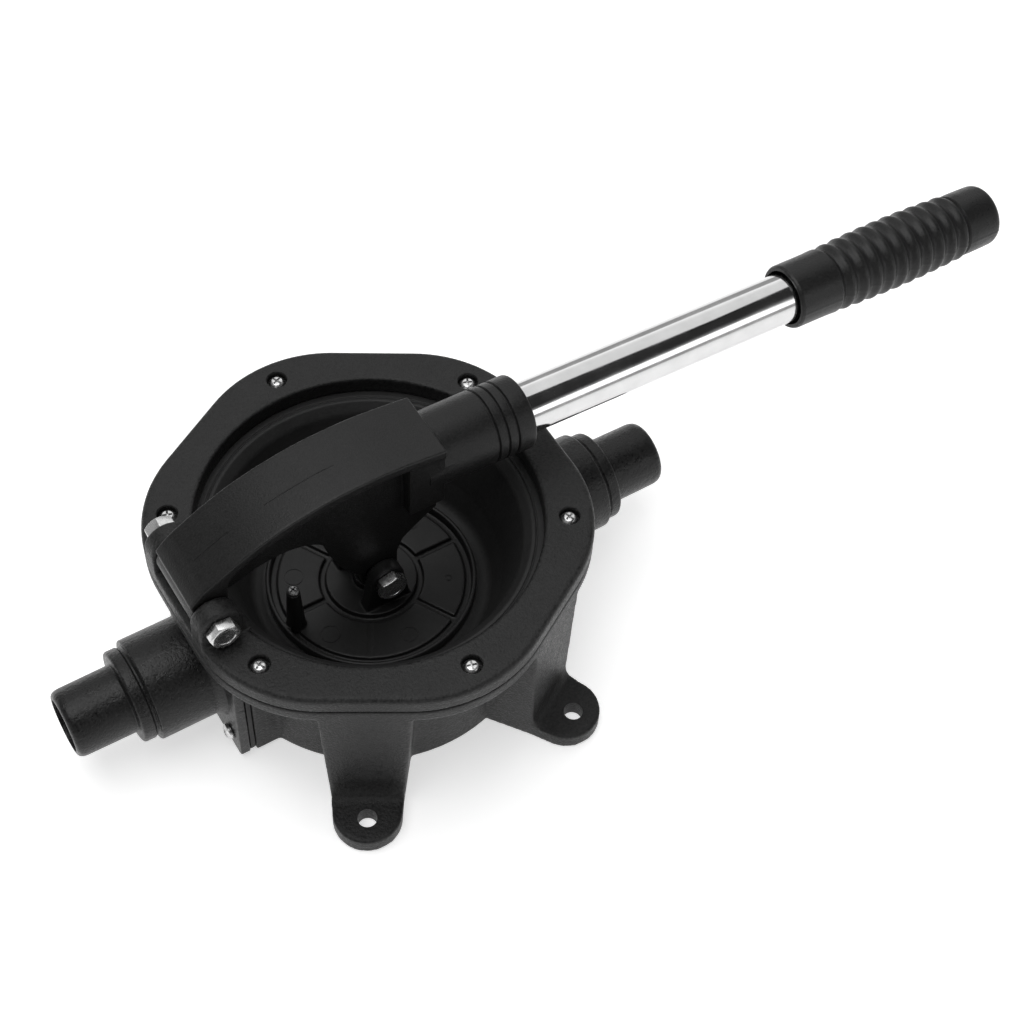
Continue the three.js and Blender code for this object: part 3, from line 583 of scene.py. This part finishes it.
def pump_body():
    profile = [(0, 0), (BOWL_FOOT_R, 0), (BOWL_LOW_R, BOWL_CHAMFER), (BOWL_R, FLANGE_LOW)]
    profile += [(BOWL_R, FLANGE_TOP), (0, FLANGE_TOP)]
    shell = turned(profile, 160)
    parts = [hexagon_plate(FLANGE_LOW, FLANGE_TOP, 0.8, 0.5)]
    boss_low = (-BOSS_FACE, -FLANGE_HALF, PORT_Z - FLANGE_HALF)
    boss_high = (BOSS_FACE, FLANGE_HALF, PORT_Z + FLANGE_HALF)
    parts.append(block(boss_low, boss_high))
    parts += [leg_and_foot(angle) for angle in FOOT_ANGLES]
    joined(shell, *parts)
    cavity = softened([(0, 6), (50, 6), (55.5, 11, 5), (58.2, 60.2), (66.4, 60.2), (66.4, 65), (0, 65)])
    tools = [turned(cavity, 160)]
    tools.append(rod(FLAP_BORE_R, -BOSS_FACE - 1, -48, 64, moved(z=PORT_Z) @ ALONG_X))
    tools.append(rod(PLAIN_BORE_R, 48, BOSS_FACE + 1, 64, moved(z=PORT_Z) @ ALONG_X))
    cut(shell, *tools)
    moulded(shell, 0.6, passes=4, keep=0.3)
    holes = []
    for angle in FOOT_ANGLES:
        holes.append(rod(FOOT_HOLE_R, -1, FOOT_THICK + 3, 48, spun(angle) @ moved(FOOT_HOLE_AT)))
    for angle in SCREW_ANGLES:
        place = spun(angle) @ moved(SCREW_CIRCLE)
        holes.append(rod(SCREW_HOLE_R, FLANGE_LOW + 1, FLANGE_TOP + 1, 24, place))
    show(cut(shell, *holes), "pump_body")


def clamp_ring():
    ring = hexagon_plate(RING_BOTTOM, RING_TOP, 0.5, 2.0)
    opening = [(0, 60), (RING_BORE_R, 60), (RING_BORE_R, RING_TOP, 1.2), (66, RING_TOP), (66, 80), (0, 80)]
    cut(ring, turned(softened(opening), 160))
    ear_radius = RING_HIGH.z - PIVOT.z
    left, right = PIVOT.x - ear_radius, PIVOT.x + ear_radius
    ear = [(left, RING_TOP - 4), (right, RING_TOP - 4)]
    ear += arc((PIVOT.x, PIVOT.z), ear_radius, 0, 180, 32)
    foot = [(left, RING_TOP - 1), (right + 3, RING_TOP - 1), (right + 3, RING_TOP)]
    foot += bent((right + 3, RING_TOP), (right, RING_TOP), (right, RING_TOP + 4))[1:]
    foot += [(left, RING_TOP + 4)]
    for side in (-1, 1):
        low, high = sorted((side * EAR_IN_Y, side * EAR_OUT_Y))
        joined(ring, bevelled(prism(ear, low, high, ON_SIDE), 1.0), prism(foot, low, high, ON_SIDE))
    moulded(ring, 0.42, passes=3, keep=0.35)
    tools = [bolt_hole(PIVOT.x, PIVOT.z)]
    profile = [(0, RING_BOTTOM - 1), (SCREW_HOLE_R, RING_BOTTOM - 1), (SCREW_HOLE_R, COUNTERBORE_Z)]
    profile += [(COUNTERBORE_R, COUNTERBORE_Z), (COUNTERBORE_R, RING_TOP - 0.25)]
    profile += [(COUNTERBORE_R + 0.5, RING_TOP + 0.25), (0, RING_TOP + 0.25)]
    for angle in SCREW_ANGLES:
        tools.append(turned(profile, 48, spun(angle) @ moved(SCREW_CIRCLE)))
    show(cut(ring, *tools), "clamp_ring")


# ------------------------------------------------------------------ diaphragm and plates
PLATE_LOW, PLATE_HIGH = corners("upper_plate")
PIN = sum(corners("clevis_nut"), Vector()) / 2
PLATE_R = PLATE_HIGH.y
PLATE_UNDER = PLATE_LOW.z
PAD_Z = PLATE_UNDER + 2
RIM_Z = PLATE_UNDER + 4.2
GROOVE_Z = PLATE_UNDER + 0.45
HUB_Z = PLATE_UNDER + 2.8
PAD_IN_R, PAD_OUT_R, HUB_R, BOSS_R = 19, 34.3, 16.7, 6.5
PLATE_BOLT_R = 3.5
GROOVE_HALF = 1
# the groove towards -X and -Y is filled but for a trace
FILLED_GROOVE = 4
CHEEK_IN_Y, CHEEK_OUT_Y, CHEEK_R, CHEEK_FOOT_HALF = 8.1, 13, 6.6, 9
POST_X, POST_Y, POST_TOP = -33, -4, PAD_Z + 20.5
POST_LOW_R, POST_TOP_R, PILOT_R = 3.6, 2.4, 1.5
# the marks that the ejector pins left in the pads: their distance from the middle of the plate,
# and the radius and depth of each
MARKS_AT_R = 28.2
EJECTOR_MARKS = ((2.6, 0.2), (1.8, 0.2), (3.3, 0.2), (3.3, 0.2), (2.8, 0.2), (1.0, 0.25))


def diaphragm():
    low, high = corners("diaphragm")
    rim_low, rim_high = high.z - 2.7, high.z
    rim_r = high.y
    flat, top = low.z, low.z + 2
    hole_r = 5.2
    below = [(hole_r, flat), (40, flat, 4), (45.6, flat + 2, 6), (49.6, flat + 11, 8), (55.6, 57, 6)]
    rim = [(57.6, rim_low, 1.5), (rim_r, rim_low), (rim_r, rim_high), (59.4, rim_high, 0.4)]
    rim += [(58.9, rim_high - 0.5, 0.4), (58.4, rim_high - 0.1, 0.4), (57.2, rim_high - 0.1, 1.2)]
    above = [(54.2, 59.8, 5), (47.6, flat + 12, 8), (43.6, top + 1.4, 5), (39.6, top, 3), (hole_r, top)]
    profile = below + rim + above
    made = turned(softened(profile, closed=True, steps=8), 192)
    show(made, "diaphragm", ride=False)
    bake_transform(made)


def upper_plate():
    rim_in = PLATE_R - 1.7
    profile = [(0, PLATE_UNDER), (PLATE_R, PLATE_UNDER, 0.4), (PLATE_R, RIM_Z, 1.2)]
    profile += [(rim_in, RIM_Z, 1.2), (rim_in, GROOVE_Z, 0.3), (PAD_OUT_R, GROOVE_Z, 0.3)]
    profile += [(PAD_OUT_R, PAD_Z, 0.3), (PAD_IN_R, PAD_Z, 0.3), (PAD_IN_R, GROOVE_Z, 0.3)]
    profile += [(HUB_R, GROOVE_Z, 0.3), (HUB_R, HUB_Z, 0.4), (0, HUB_Z)]
    plate = turned(softened(profile), 180)
    tools = []
    for k in range(6):
        floor = PAD_Z - 0.15 if k == FILLED_GROOVE else GROOVE_Z
        groove = block((PAD_IN_R - 1, -GROOVE_HALF, floor), (PAD_OUT_R + 1, GROOVE_HALF, PAD_Z + 1))
        groove.data.transform(spun(60 * k))
        tools.append(groove)
    cut(plate, *tools)
    cheek = [(-CHEEK_FOOT_HALF, HUB_Z - 1), (CHEEK_FOOT_HALF, HUB_Z - 1)]
    cheek += arc((0, PIN.z), CHEEK_R, 0, 180, 32)
    far_cheek = prism(cheek, CHEEK_IN_Y, CHEEK_OUT_Y, ON_SIDE)
    near_cheek = prism(cheek, -CHEEK_OUT_Y, -CHEEK_IN_Y, ON_SIDE)
    at_post = moved(POST_X, POST_Y)
    cone = [(0, PAD_Z - 0.5), (POST_LOW_R, PAD_Z - 0.5), (POST_TOP_R, POST_TOP), (0, POST_TOP)]
    post = turned(cone, 48, at_post)
    boss = rod(BOSS_R, PLATE_UNDER + 1, PLATE_UNDER + 5.8, 48)
    joined(plate, far_cheek, near_cheek, post, boss)
    pilot = rod(PILOT_R, POST_TOP - 8, POST_TOP + 1, 24, at_post)
    cut(plate, bolt_hole(0, PIN.z), pilot)
    cut(plate, rod(PLATE_BOLT_R, PLATE_UNDER - 1, PLATE_UNDER + 4.8, 40))
    moulded(plate, 0.32, passes=2, keep=0.4)
    marks = []
    for k, (radius, depth) in enumerate(EJECTOR_MARKS):
        outer, low, high = radius + 0.3, PAD_Z - depth, PAD_Z + 1
        outline = [(radius, low), (outer, low), (outer, high), (radius, high)]
        marks.append(turned(outline, 48, spun(60 * k + 30) @ moved(MARKS_AT_R)))
    cut(plate, *marks)
    show(plate, "upper_plate")


def lower_plate():
    low, high = corners("lower_plate")
    profile = [(PLATE_BOLT_R, low.z), (30, low.z, 2), (high.x, low.z + 1.6, 1)]
    profile += [(high.x, high.z, 0.8), (PLATE_BOLT_R, high.z)]
    show(turned(softened(profile, closed=True), 128), "lower_plate")


# ------------------------------------------------------------------ lever
LEVER_HALF = 13.5
WEB_HALF = 7.8
SOCKET_END_HALF = 12.9
BARREL_R = 7
LEG_END_X, LEG_END_R = 66.3, 7.4
SLOT_R, SLOT_TRAVEL = 3.5, 2.9
TUBE_AXIS = Vector(JOINTS["handle_pull"]["axis"]).normalized()
SOCKET_AT = PIVOT + Vector((90, 0, 14.7))
SOCKET_LENGTH, SOCKET_BORE_R, SOCKET_FLOOR = 36.5, 9.8, 5
SOCKET_GROOVES = (21.3, 25.2, 29.1)
TUBE_IN_R, TUBE_R = 8.3, 9.5
TUBE_START, TUBE_END = 6, 236
# x from the pivot of the stretches where the strap's parting line isn't worn away
SEAM_STRETCHES = ((1, 14), (28, 55), (58, 66))
SEAM_HEIGHT, SEAM_DEPTH = 0.15, 0.4
SEAM_FROM_Y, SEAM_TO_Y = -1.3, -0.9


def on_tube_axis():
    """Takes a thing built along +Z from the socket's inner end onto the tilted tube axis."""
    tilt = Vector((0, 0, 1)).rotation_difference(TUBE_AXIS)
    return Matrix.Translation(SOCKET_AT) @ tilt.to_matrix().to_4x4()


def lever_arm():
    at_pivot = Matrix.Translation(PIVOT) @ ON_SIDE
    pin = PIN - PIVOT
    top = [(-5.4, 0.5)]
    top += smooth_through([
        (-6.7, 6.2), (-4.6, 8.6), (-2.6, 10.4), (0, 12.5), (6, 16.1), (12, 19.5), (20, 23.3),
        (28, 26.2), (36, 28.3), (46, 30.3), (56, 31.1), (66, 31.3), (76, 30.6), (90, 28.9),
    ])
    under = smooth_through([
        (90, 24.9), (76, 26.7), (66, 27.3), (56, 27.1), (46, 26.3), (36, 24.3), (28, 22.1),
        (20, 19.1), (12, 14.9), (8, 11), (7, 6), (6.9, 0.5),
    ])
    strap = bevelled(prism(top + under, -LEVER_HALF, LEVER_HALF, at_pivot), 0.5, 3, 50)
    web = [(0, 0), (7, -1.6)]
    web += bent((12.4, -0.1), (21, 4.3), (30, 4.5))
    web += bent((30, 4.5), (39, 4.4), (45, -1.4))[1:]
    web += [(47.4, -10), (51.7, -20.4), (58.9, pin.z + 2)]
    web += arc((LEG_END_X, pin.z), LEG_END_R, 180, 360, 24)
    web += [(73.8, -25), (76, -19), (82, -14), (89.6, -8.6), (89.6, 26), (60, 28), (30, 22), (6, 11.5)]
    end = [(76, 0.8), (89.8, 0.8), (89.8, 28.3), (76, 28.3)]
    parts = [
        rod(BARREL_R, -LEVER_HALF, LEVER_HALF, 64, Matrix.Translation(PIVOT) @ ALONG_Y),
        prism(web, -WEB_HALF, WEB_HALF, at_pivot),
        prism(end, -SOCKET_END_HALF, SOCKET_END_HALF, at_pivot),
    ]
    joined(strap, *parts)
    reach = math.hypot(pin.x, pin.z)
    slot_angle = math.degrees(math.atan2(pin.z, pin.x))
    inner = Vector((pin.x, pin.z)) * (1 - SLOT_TRAVEL / reach)
    slot = arc((pin.x, pin.z), SLOT_R, slot_angle - 90, slot_angle + 90, 16)
    slot += arc(inner, SLOT_R, slot_angle + 90, slot_angle + 270, 16)
    cut(strap, bolt_hole(PIVOT.x, PIVOT.z), prism(slot, -20, 20, at_pivot))
    moulded(strap, 0.36, passes=2, keep=0.4)
    # socket for the tube, with grooves round it
    profile = [(0, -6), (13.2, -6), (13.5, 6)]
    for at in SOCKET_GROOVES:
        profile += [(13.65, at - 0.55, 0.15), (12.9, at - 0.2, 0.15)]
        profile += [(12.9, at + 0.2, 0.15), (13.65, at + 0.55, 0.15)]
    profile += [(13.8, SOCKET_LENGTH, 1.4), (SOCKET_BORE_R, SOCKET_LENGTH, 0.5)]
    profile += [(SOCKET_BORE_R, SOCKET_FLOOR), (0, SOCKET_FLOOR)]
    joined(strap, turned(softened(profile), 128, on_tube_axis()))
    # the mould's parting line along the strap, no higher than the CAD piece
    seam = []
    highest = corners("lever_arm")[1].z - PIVOT.z
    for start, end in SEAM_STRETCHES:
        line = [(x, min(z + SEAM_HEIGHT, highest)) for x, z in top if start <= x <= end and z > 10]
        line += [(x, z - SEAM_DEPTH) for x, z in reversed(line)]
        seam.append(prism(line, SEAM_FROM_Y, SEAM_TO_Y, at_pivot))
    joined(strap, *seam)
    show(strap, "lever_arm")


def handle_tube():
    profile = [(TUBE_IN_R, TUBE_START, 0.3), (TUBE_R, TUBE_START, 0.4)]
    profile += [(TUBE_R, TUBE_END, 0.4), (TUBE_IN_R, TUBE_END, 0.3)]
    show(turned(softened(profile, closed=True), 160, on_tube_axis()), "handle_tube")


GRIP_START, GRIP_END, GRIP_BORE_R, GRIP_BORE_END = 153, 250, 9.8, 236.5
# ridges of the grip: how many, how far apart, where they start, and half of their height
RIDGES, RIDGE_PITCH, RIDGES_FROM, RIDGE_WAVE = 10, 6.1, GRIP_START + 20.5, 0.65
# the ridges' largest radius, how fast it falls off, and where along the ridges it is
SWELL_R, SWELL_FALL, SWELL_AT = 13.55, 0.037, 4.9
GRIP_SEAM_ANGLE, GRIP_SEAM_HALF = math.radians(-97.5), math.radians(1.3)
GRIP_SEAM_HEIGHT = 0.14


def grip_seam(angle, z):
    """A fine moulding seam along the near side of the grip."""
    off = (angle - GRIP_SEAM_ANGLE + math.pi) % (2 * math.pi) - math.pi
    return GRIP_SEAM_HEIGHT if abs(off) < GRIP_SEAM_HALF else 0.0


def handle_grip():
    start, end = GRIP_START, GRIP_END
    profile = [(GRIP_BORE_R, start + 4, 0.3), (10.5, start + 3, 0.4), (10.5, start, 0.3)]
    profile += [(11.8, start, 0.5), (12.35, start + 1, 0.8), (12.4, start + 14)]
    profile += [(12.6, RIDGES_FROM - 2, 1)]
    steps = 10
    for k in range(RIDGES * steps):
        turn = k / steps
        crest = SWELL_R - SWELL_FALL * (turn - SWELL_AT) ** 2
        wave = RIDGE_WAVE * (1 + math.cos(2 * math.pi * turn))
        profile.append((crest - wave, RIDGES_FROM + RIDGE_PITCH * turn))
    last = RIDGES_FROM + RIDGE_PITCH * RIDGES
    profile += [(12.1, last), (12.25, last + 3, 1), (12.15, end - 6.5), (12.0, end, 5), (0, end)]
    profile += [(0, GRIP_BORE_END), (GRIP_BORE_R, GRIP_BORE_END)]
    made = turned(softened(profile, closed=True, steps=8), 144, None, grip_seam)
    made.data.transform(on_tube_axis())
    show(made, "handle_grip")


# ------------------------------------------------------------------ hose ports and valves
# distances from the bowl's axis along X
GASKET_IN, GASKET_OUT = 62.8, 64.6
PORT_IN, PORT_FLANGE_OUT, PORT_HEAD_SEAT = 64.9, 68.6, 68.9
LARGE_HOSE_END, PORT_TIP = 92.6, corners("outlet_port")[1].x
# radii for a 38 mm and a 25.4 mm hose, and of the narrow bore
LARGE_HOSE_R, SMALL_HOSE_R, NARROW_R = 19, 12.6, 9.8
FLANGE_CORNER_R = 2.5


def port_screw_holes(low, high):
    """Tools for the four screw holes, in a port built along +Z."""
    return [rod(SCREW_HOLE_R, low - 1, high + 1, 32, moved(z, y)) for y, z in PORT_SCREWS]


def port(node, chamber, turn):
    """A stepped hose spigot on its flange, with a chamber for a flap where one opens in it."""
    step, tip = LARGE_HOSE_END, PORT_TIP
    profile = [(0, PORT_IN), (LARGE_HOSE_R, PORT_IN), (LARGE_HOSE_R, PORT_FLANGE_OUT)]
    profile += [(21.2, PORT_FLANGE_OUT), (LARGE_HOSE_R, PORT_FLANGE_OUT + 3, 2), (LARGE_HOSE_R, step, 0.9)]
    profile += [(17.5, step, 0.2), (16.8, step + 0.6, 0.2), (16.8, step + 1.2, 0.2)]
    profile += [(17.3, step + 1.8, 0.3), (17.3, step + 6, 1.3), (12.8, step + 6.4, 0.6)]
    profile += bent((12.65, tip - 3.6), (SMALL_HOSE_R, tip), (10.2, tip)) + [(0, tip)]
    spigot = turned(softened(profile), 128)
    flange = prism(rounded_square(FLANGE_HALF, FLANGE_CORNER_R), PORT_IN, PORT_FLANGE_OUT)
    joined(spigot, bevelled(flange, 0.6))
    mouth, deep = (FLAP_BORE_R, step - 3.5) if chamber else (PLAIN_BORE_R, PORT_IN + 12)
    bore = [(0, 60), (mouth, 60), (mouth, deep, 2), (NARROW_R, deep + 4, 2), (NARROW_R, tip, 0.4)]
    bore += [(NARROW_R + 0.5, tip + 0.5), (NARROW_R + 0.5, 130), (0, 130)]
    cut(spigot, turned(softened(bore), 96), *port_screw_holes(PORT_IN, PORT_FLANGE_OUT))
    spigot.data.transform(spun(turn) @ moved(z=PORT_Z) @ ALONG_X)
    show(spigot, node, MATERIALS["port_plastic"])


def gasket(node, turn):
    outline = rounded_square(FLANGE_HALF - 0.4, FLANGE_CORNER_R)
    sheet = bevelled(prism(outline, GASKET_IN, GASKET_OUT), 0.2)
    opening = rod(15.6, GASKET_IN - 1, GASKET_OUT + 1, 96)
    cut(sheet, opening, *port_screw_holes(GASKET_IN, GASKET_OUT))
    sheet.data.transform(spun(turn) @ moved(z=PORT_Z) @ ALONG_X)
    show(sheet, node)


def flap(node):
    low, high = corners(node)
    centre = (low + high) / 2
    half, radius = (high.x - low.x) / 2, (high.y - low.y) / 2
    profile = [(0, -half), (radius, -half, 0.4), (radius, half, 0.4), (radius - 1.6, half, 0.3)]
    profile += [(radius - 2.2, half - 0.3, 0.3), (8, half - 0.3, 0.3), (7.4, half, 0.3), (0, half)]
    show(turned(softened(profile), 96, Matrix.Translation(centre) @ ALONG_X), node)


# ------------------------------------------------------------------ screws and bolts
ACROSS_FLATS = 10.0
BOLT_HEAD = 4.0
THREAD_LENGTH = 12.0
NUT_HEIGHT = 5


def ridged(radius, low, high, pitch=1.0, depth=0.3):
    """Profile of a threaded shank between two heights, its thread drawn as fine ridges."""
    turns = int((high - low) / pitch)
    points = []
    for k in range(turns):
        points.append((radius - depth, low + pitch * k))
        points.append((radius, low + pitch * (k + 0.35)))
        points.append((radius, low + pitch * (k + 0.65)))
    return points + [(radius - depth, low + pitch * turns)]


def pan_screw(node, place, head_r, head_h, shank_r, length, material=None):
    """Pan-head screw with a cross recess, its head's underside at z = 0."""
    head = [(0, 0), (head_r, 0, 0.2), (head_r, head_h * 0.55, 0.5)]
    head += [(head_r * 0.62, head_h * 0.96, 1.2), (0, head_h)]
    screw = turned(softened(head, steps=6), 64)
    shank = [(0, -length), (shank_r * 0.6, -length)] + ridged(shank_r, -length + 0.8, -0.6, 0.8, 0.25)
    joined(screw, turned(shank + [(shank_r, 0.4), (0, 0.4)], 32))
    arm, half, deep = head_r * 0.62, head_r * 0.12, head_h * 0.3
    # (height, half length, half width) of the recess, which narrows downwards
    levels = (
        (deep, arm * 0.3, half * 0.7),
        (head_h * 0.75, arm * 0.8, half),
        (head_h + 1, arm * 1.35, half * 1.3),
    )
    sections = [[(-a, -b, z), (a, -b, z), (a, b, z), (-a, b, z)] for z, a, b in levels]
    for turn in (0, 90):
        cut(screw, stacked(sections, spun(turn)))
    screw.data.transform(place)
    show(screw, node, material, crease=30)


def hex_solid(low, high, chamfer_low, chamfer_high):
    """Hexagon about Z whose corners are turned off at one or both ends."""
    corner = ACROSS_FLATS / math.sqrt(3)
    body = prism(arc((0, 0), corner, 0, 300, 6), low, high)
    flat = ACROSS_FLATS / 2 * 0.97
    profile = [(0, low), (flat if chamfer_low else corner + 1, low)]
    if chamfer_low:
        profile.append((corner + 0.2, low + 0.75))
    if chamfer_high:
        profile.append((corner + 0.2, high - 0.75))
    profile += [(flat if chamfer_high else corner + 1, high), (0, high)]
    return bevelled(combine(body, [turned(profile, 64)], "INTERSECT"), 0.12, 2, 25)


def hex_bolt(node, place, length):
    """M6 bolt with its head's underside at z = 0, head upwards, shank downwards."""
    head = BOLT_HEAD
    bolt = hex_solid(0, head, False, True)
    dish = [(0, head - 0.25), (3.4, head - 0.25, 0.3), (3.7, head + 0.5), (0, head + 0.5)]
    cut(bolt, turned(softened(dish), 64))
    thread_top = -length + THREAD_LENGTH
    shank = [(0, -length), (2.4, -length)] + ridged(BOLT_R, -length + 0.5, thread_top)
    shank += [(BOLT_R, thread_top + 0.4), (BOLT_R, 0.5), (0, 0.5)]
    joined(bolt, turned(shank, 48))
    bolt.data.transform(place)
    show(bolt, node, crease=30)


def hex_nut(node, place):
    nut = hex_solid(0, NUT_HEIGHT, True, True)
    cut(nut, rod(BOLT_HOLE_R, -1, NUT_HEIGHT + 1, 48))
    nut.data.transform(place)
    show(nut, node, crease=30)


def screws():
    for k, angle in enumerate(SCREW_ANGLES):
        at = spun(angle) @ moved(SCREW_CIRCLE, 0, RING_TOP - 2.8) @ spun(20 + 47 * k - angle)
        pan_screw(f"clamp_screw_{k + 1}", at, head_r=2.95, head_h=2.4, shank_r=2, length=8.4)
    at = moved(POST_X, POST_Y, POST_TOP + SEAT_GAP) @ spun(25)
    # the post's screw takes the darker copy of the steel, which is painted shade for a screw in shadow
    dull = MATERIALS["shaded_steel"]
    pan_screw("post_screw", at, head_r=2.2, head_h=1.6, shank_r=1.1, length=6, material=dull)
    for label, turn in (("inlet", 180), ("outlet", 0)):
        for k, (y, z) in enumerate(PORT_SCREWS, 1):
            at = spun(turn) @ moved(PORT_HEAD_SEAT, y, PORT_Z + z) @ ALONG_X @ spun(31 * k)
            pan_screw(f"{label}_screw_{k}", at, head_r=3.2, head_h=2.2, shank_r=2, length=12)


def bolts():
    """The bolts along Y have their heads towards -Y, and the plate's bolt has its head below."""
    to_front = spun(90, "X")
    ear_seat, cheek_seat = EAR_OUT_Y + SEAT_GAP, CHEEK_OUT_Y + SEAT_GAP
    hex_bolt("pivot_bolt", moved(PIVOT.x, -ear_seat, PIVOT.z) @ to_front @ spun(-8), 2 * ear_seat + 6.6)
    hex_bolt("clevis_bolt", moved(0, -cheek_seat, PIN.z) @ to_front @ spun(18), 2 * cheek_seat + 8)
    hex_nut("pivot_nut", moved(PIVOT.x, ear_seat, PIVOT.z) @ ALONG_Y @ spun(22))
    hex_nut("clevis_nut", moved(0, cheek_seat, PIN.z) @ ALONG_Y @ spun(4))
    low, high = corners("plate_bolt")
    head_top = low.z + BOLT_HEAD
    hex_bolt("plate_bolt", moved(0, 0, head_top) @ spun(180, "X"), high.z - head_top)


# ------------------------------------------------------------------ stage
WHITE = (1, 1, 1, 1)
FLOOR_HALF = 5.0
FLOOR_GAP = 0.0003
# the floor glows a little, as a table lit from below, so that it stays white round the object
FLOOR_GLOW = 0.56
LIGHTS_AIM = Vector((0.05, 0, 0.06))
# name, direction from the object, distance, width, height, brightness
SOFTBOXES = (
    ("back", (0.30, 0.62, 0.85), 1.7, 2.2, 1.7, 0.9),
    ("front", (0.42, -0.85, 0.36), 1.3, 0.7, 0.42, 1.6),
    ("overhead", (-0.22, 0.02, 0.97), 1.2, 1.0, 1.0, 2.6),
)
HORIZON_LIGHT, ZENITH_LIGHT = 0.4, 0.03
# heights in the sky between which its light fades from the horizon's to the zenith's
FADE_FROM, FADE_TO = 0.42, 0.66


def add_floor():
    half = FLOOR_HALF
    corner_points = [(-half, -half, 0), (half, -half, 0), (half, half, 0), (-half, half, 0)]
    mesh = bpy.data.meshes.new("floor")
    mesh.from_pydata(corner_points, [], [(0, 1, 2, 3)])
    floor = bpy.data.objects.new("floor", mesh)
    floor.location.z = -FLOOR_GAP
    SCENE.collection.objects.link(floor)
    made = Nodes("pale_floor")
    tone = made.ranged(made.noise(3, detail=2), 0.88, 0.92)
    made.set(Base_Color=made.grey(tone), Roughness=0.7)
    made.shader.inputs["Emission Color"].default_value = WHITE
    made.shader.inputs["Emission Strength"].default_value = FLOOR_GLOW
    mesh.materials.append(made.material)


def add_softbox(name, direction, distance, width, height, brightness):
    data = bpy.data.lights.new(name, "AREA")
    data.shape = "RECTANGLE"
    data.size = width
    data.size_y = height
    data.energy = brightness * math.pi * width * height
    lamp = bpy.data.objects.new(name, data)
    lamp.location = LIGHTS_AIM + Vector(direction).normalized() * distance
    lamp.rotation_euler = (LIGHTS_AIM - lamp.location).to_track_quat("-Z", "Y").to_euler()
    SCENE.collection.objects.link(lamp)


def add_world():
    """Pale all round near the horizon, dim overhead."""
    world = bpy.data.worlds.new("studio")
    world.use_nodes = True
    tree = world.node_tree
    place = tree.nodes.new("ShaderNodeTexCoord").outputs["Generated"]
    split = tree.nodes.new("ShaderNodeSeparateXYZ")
    tree.links.new(place, split.inputs["Vector"])
    ramp = tree.nodes.new("ShaderNodeMapRange")
    ramp.interpolation_type = "SMOOTHSTEP"
    tree.links.new(split.outputs["Z"], ramp.inputs["Value"])
    ramp.inputs["From Min"].default_value = FADE_FROM
    ramp.inputs["From Max"].default_value = FADE_TO
    ramp.inputs["To Min"].default_value = HORIZON_LIGHT
    ramp.inputs["To Max"].default_value = ZENITH_LIGHT
    tree.links.new(ramp.outputs["Result"], tree.nodes["Background"].inputs["Strength"])
    tree.nodes["Background"].inputs["Color"].default_value = WHITE
    SCENE.world = world
    SCENE.view_settings.view_transform = "Standard"


def main():
    pump_body()
    clamp_ring()
    diaphragm()
    upper_plate()
    lower_plate()
    lever_arm()
    handle_tube()
    handle_grip()
    port("inlet_port", False, 180)
    port("outlet_port", True, 0)
    gasket("inlet_gasket", 180)
    gasket("outlet_gasket", 0)
    flap("inlet_flap")
    flap("outlet_flap")
    screws()
    bolts()
    add_floor()
    for softbox in SOFTBOXES:
        add_softbox(*softbox)
    add_world()


main()
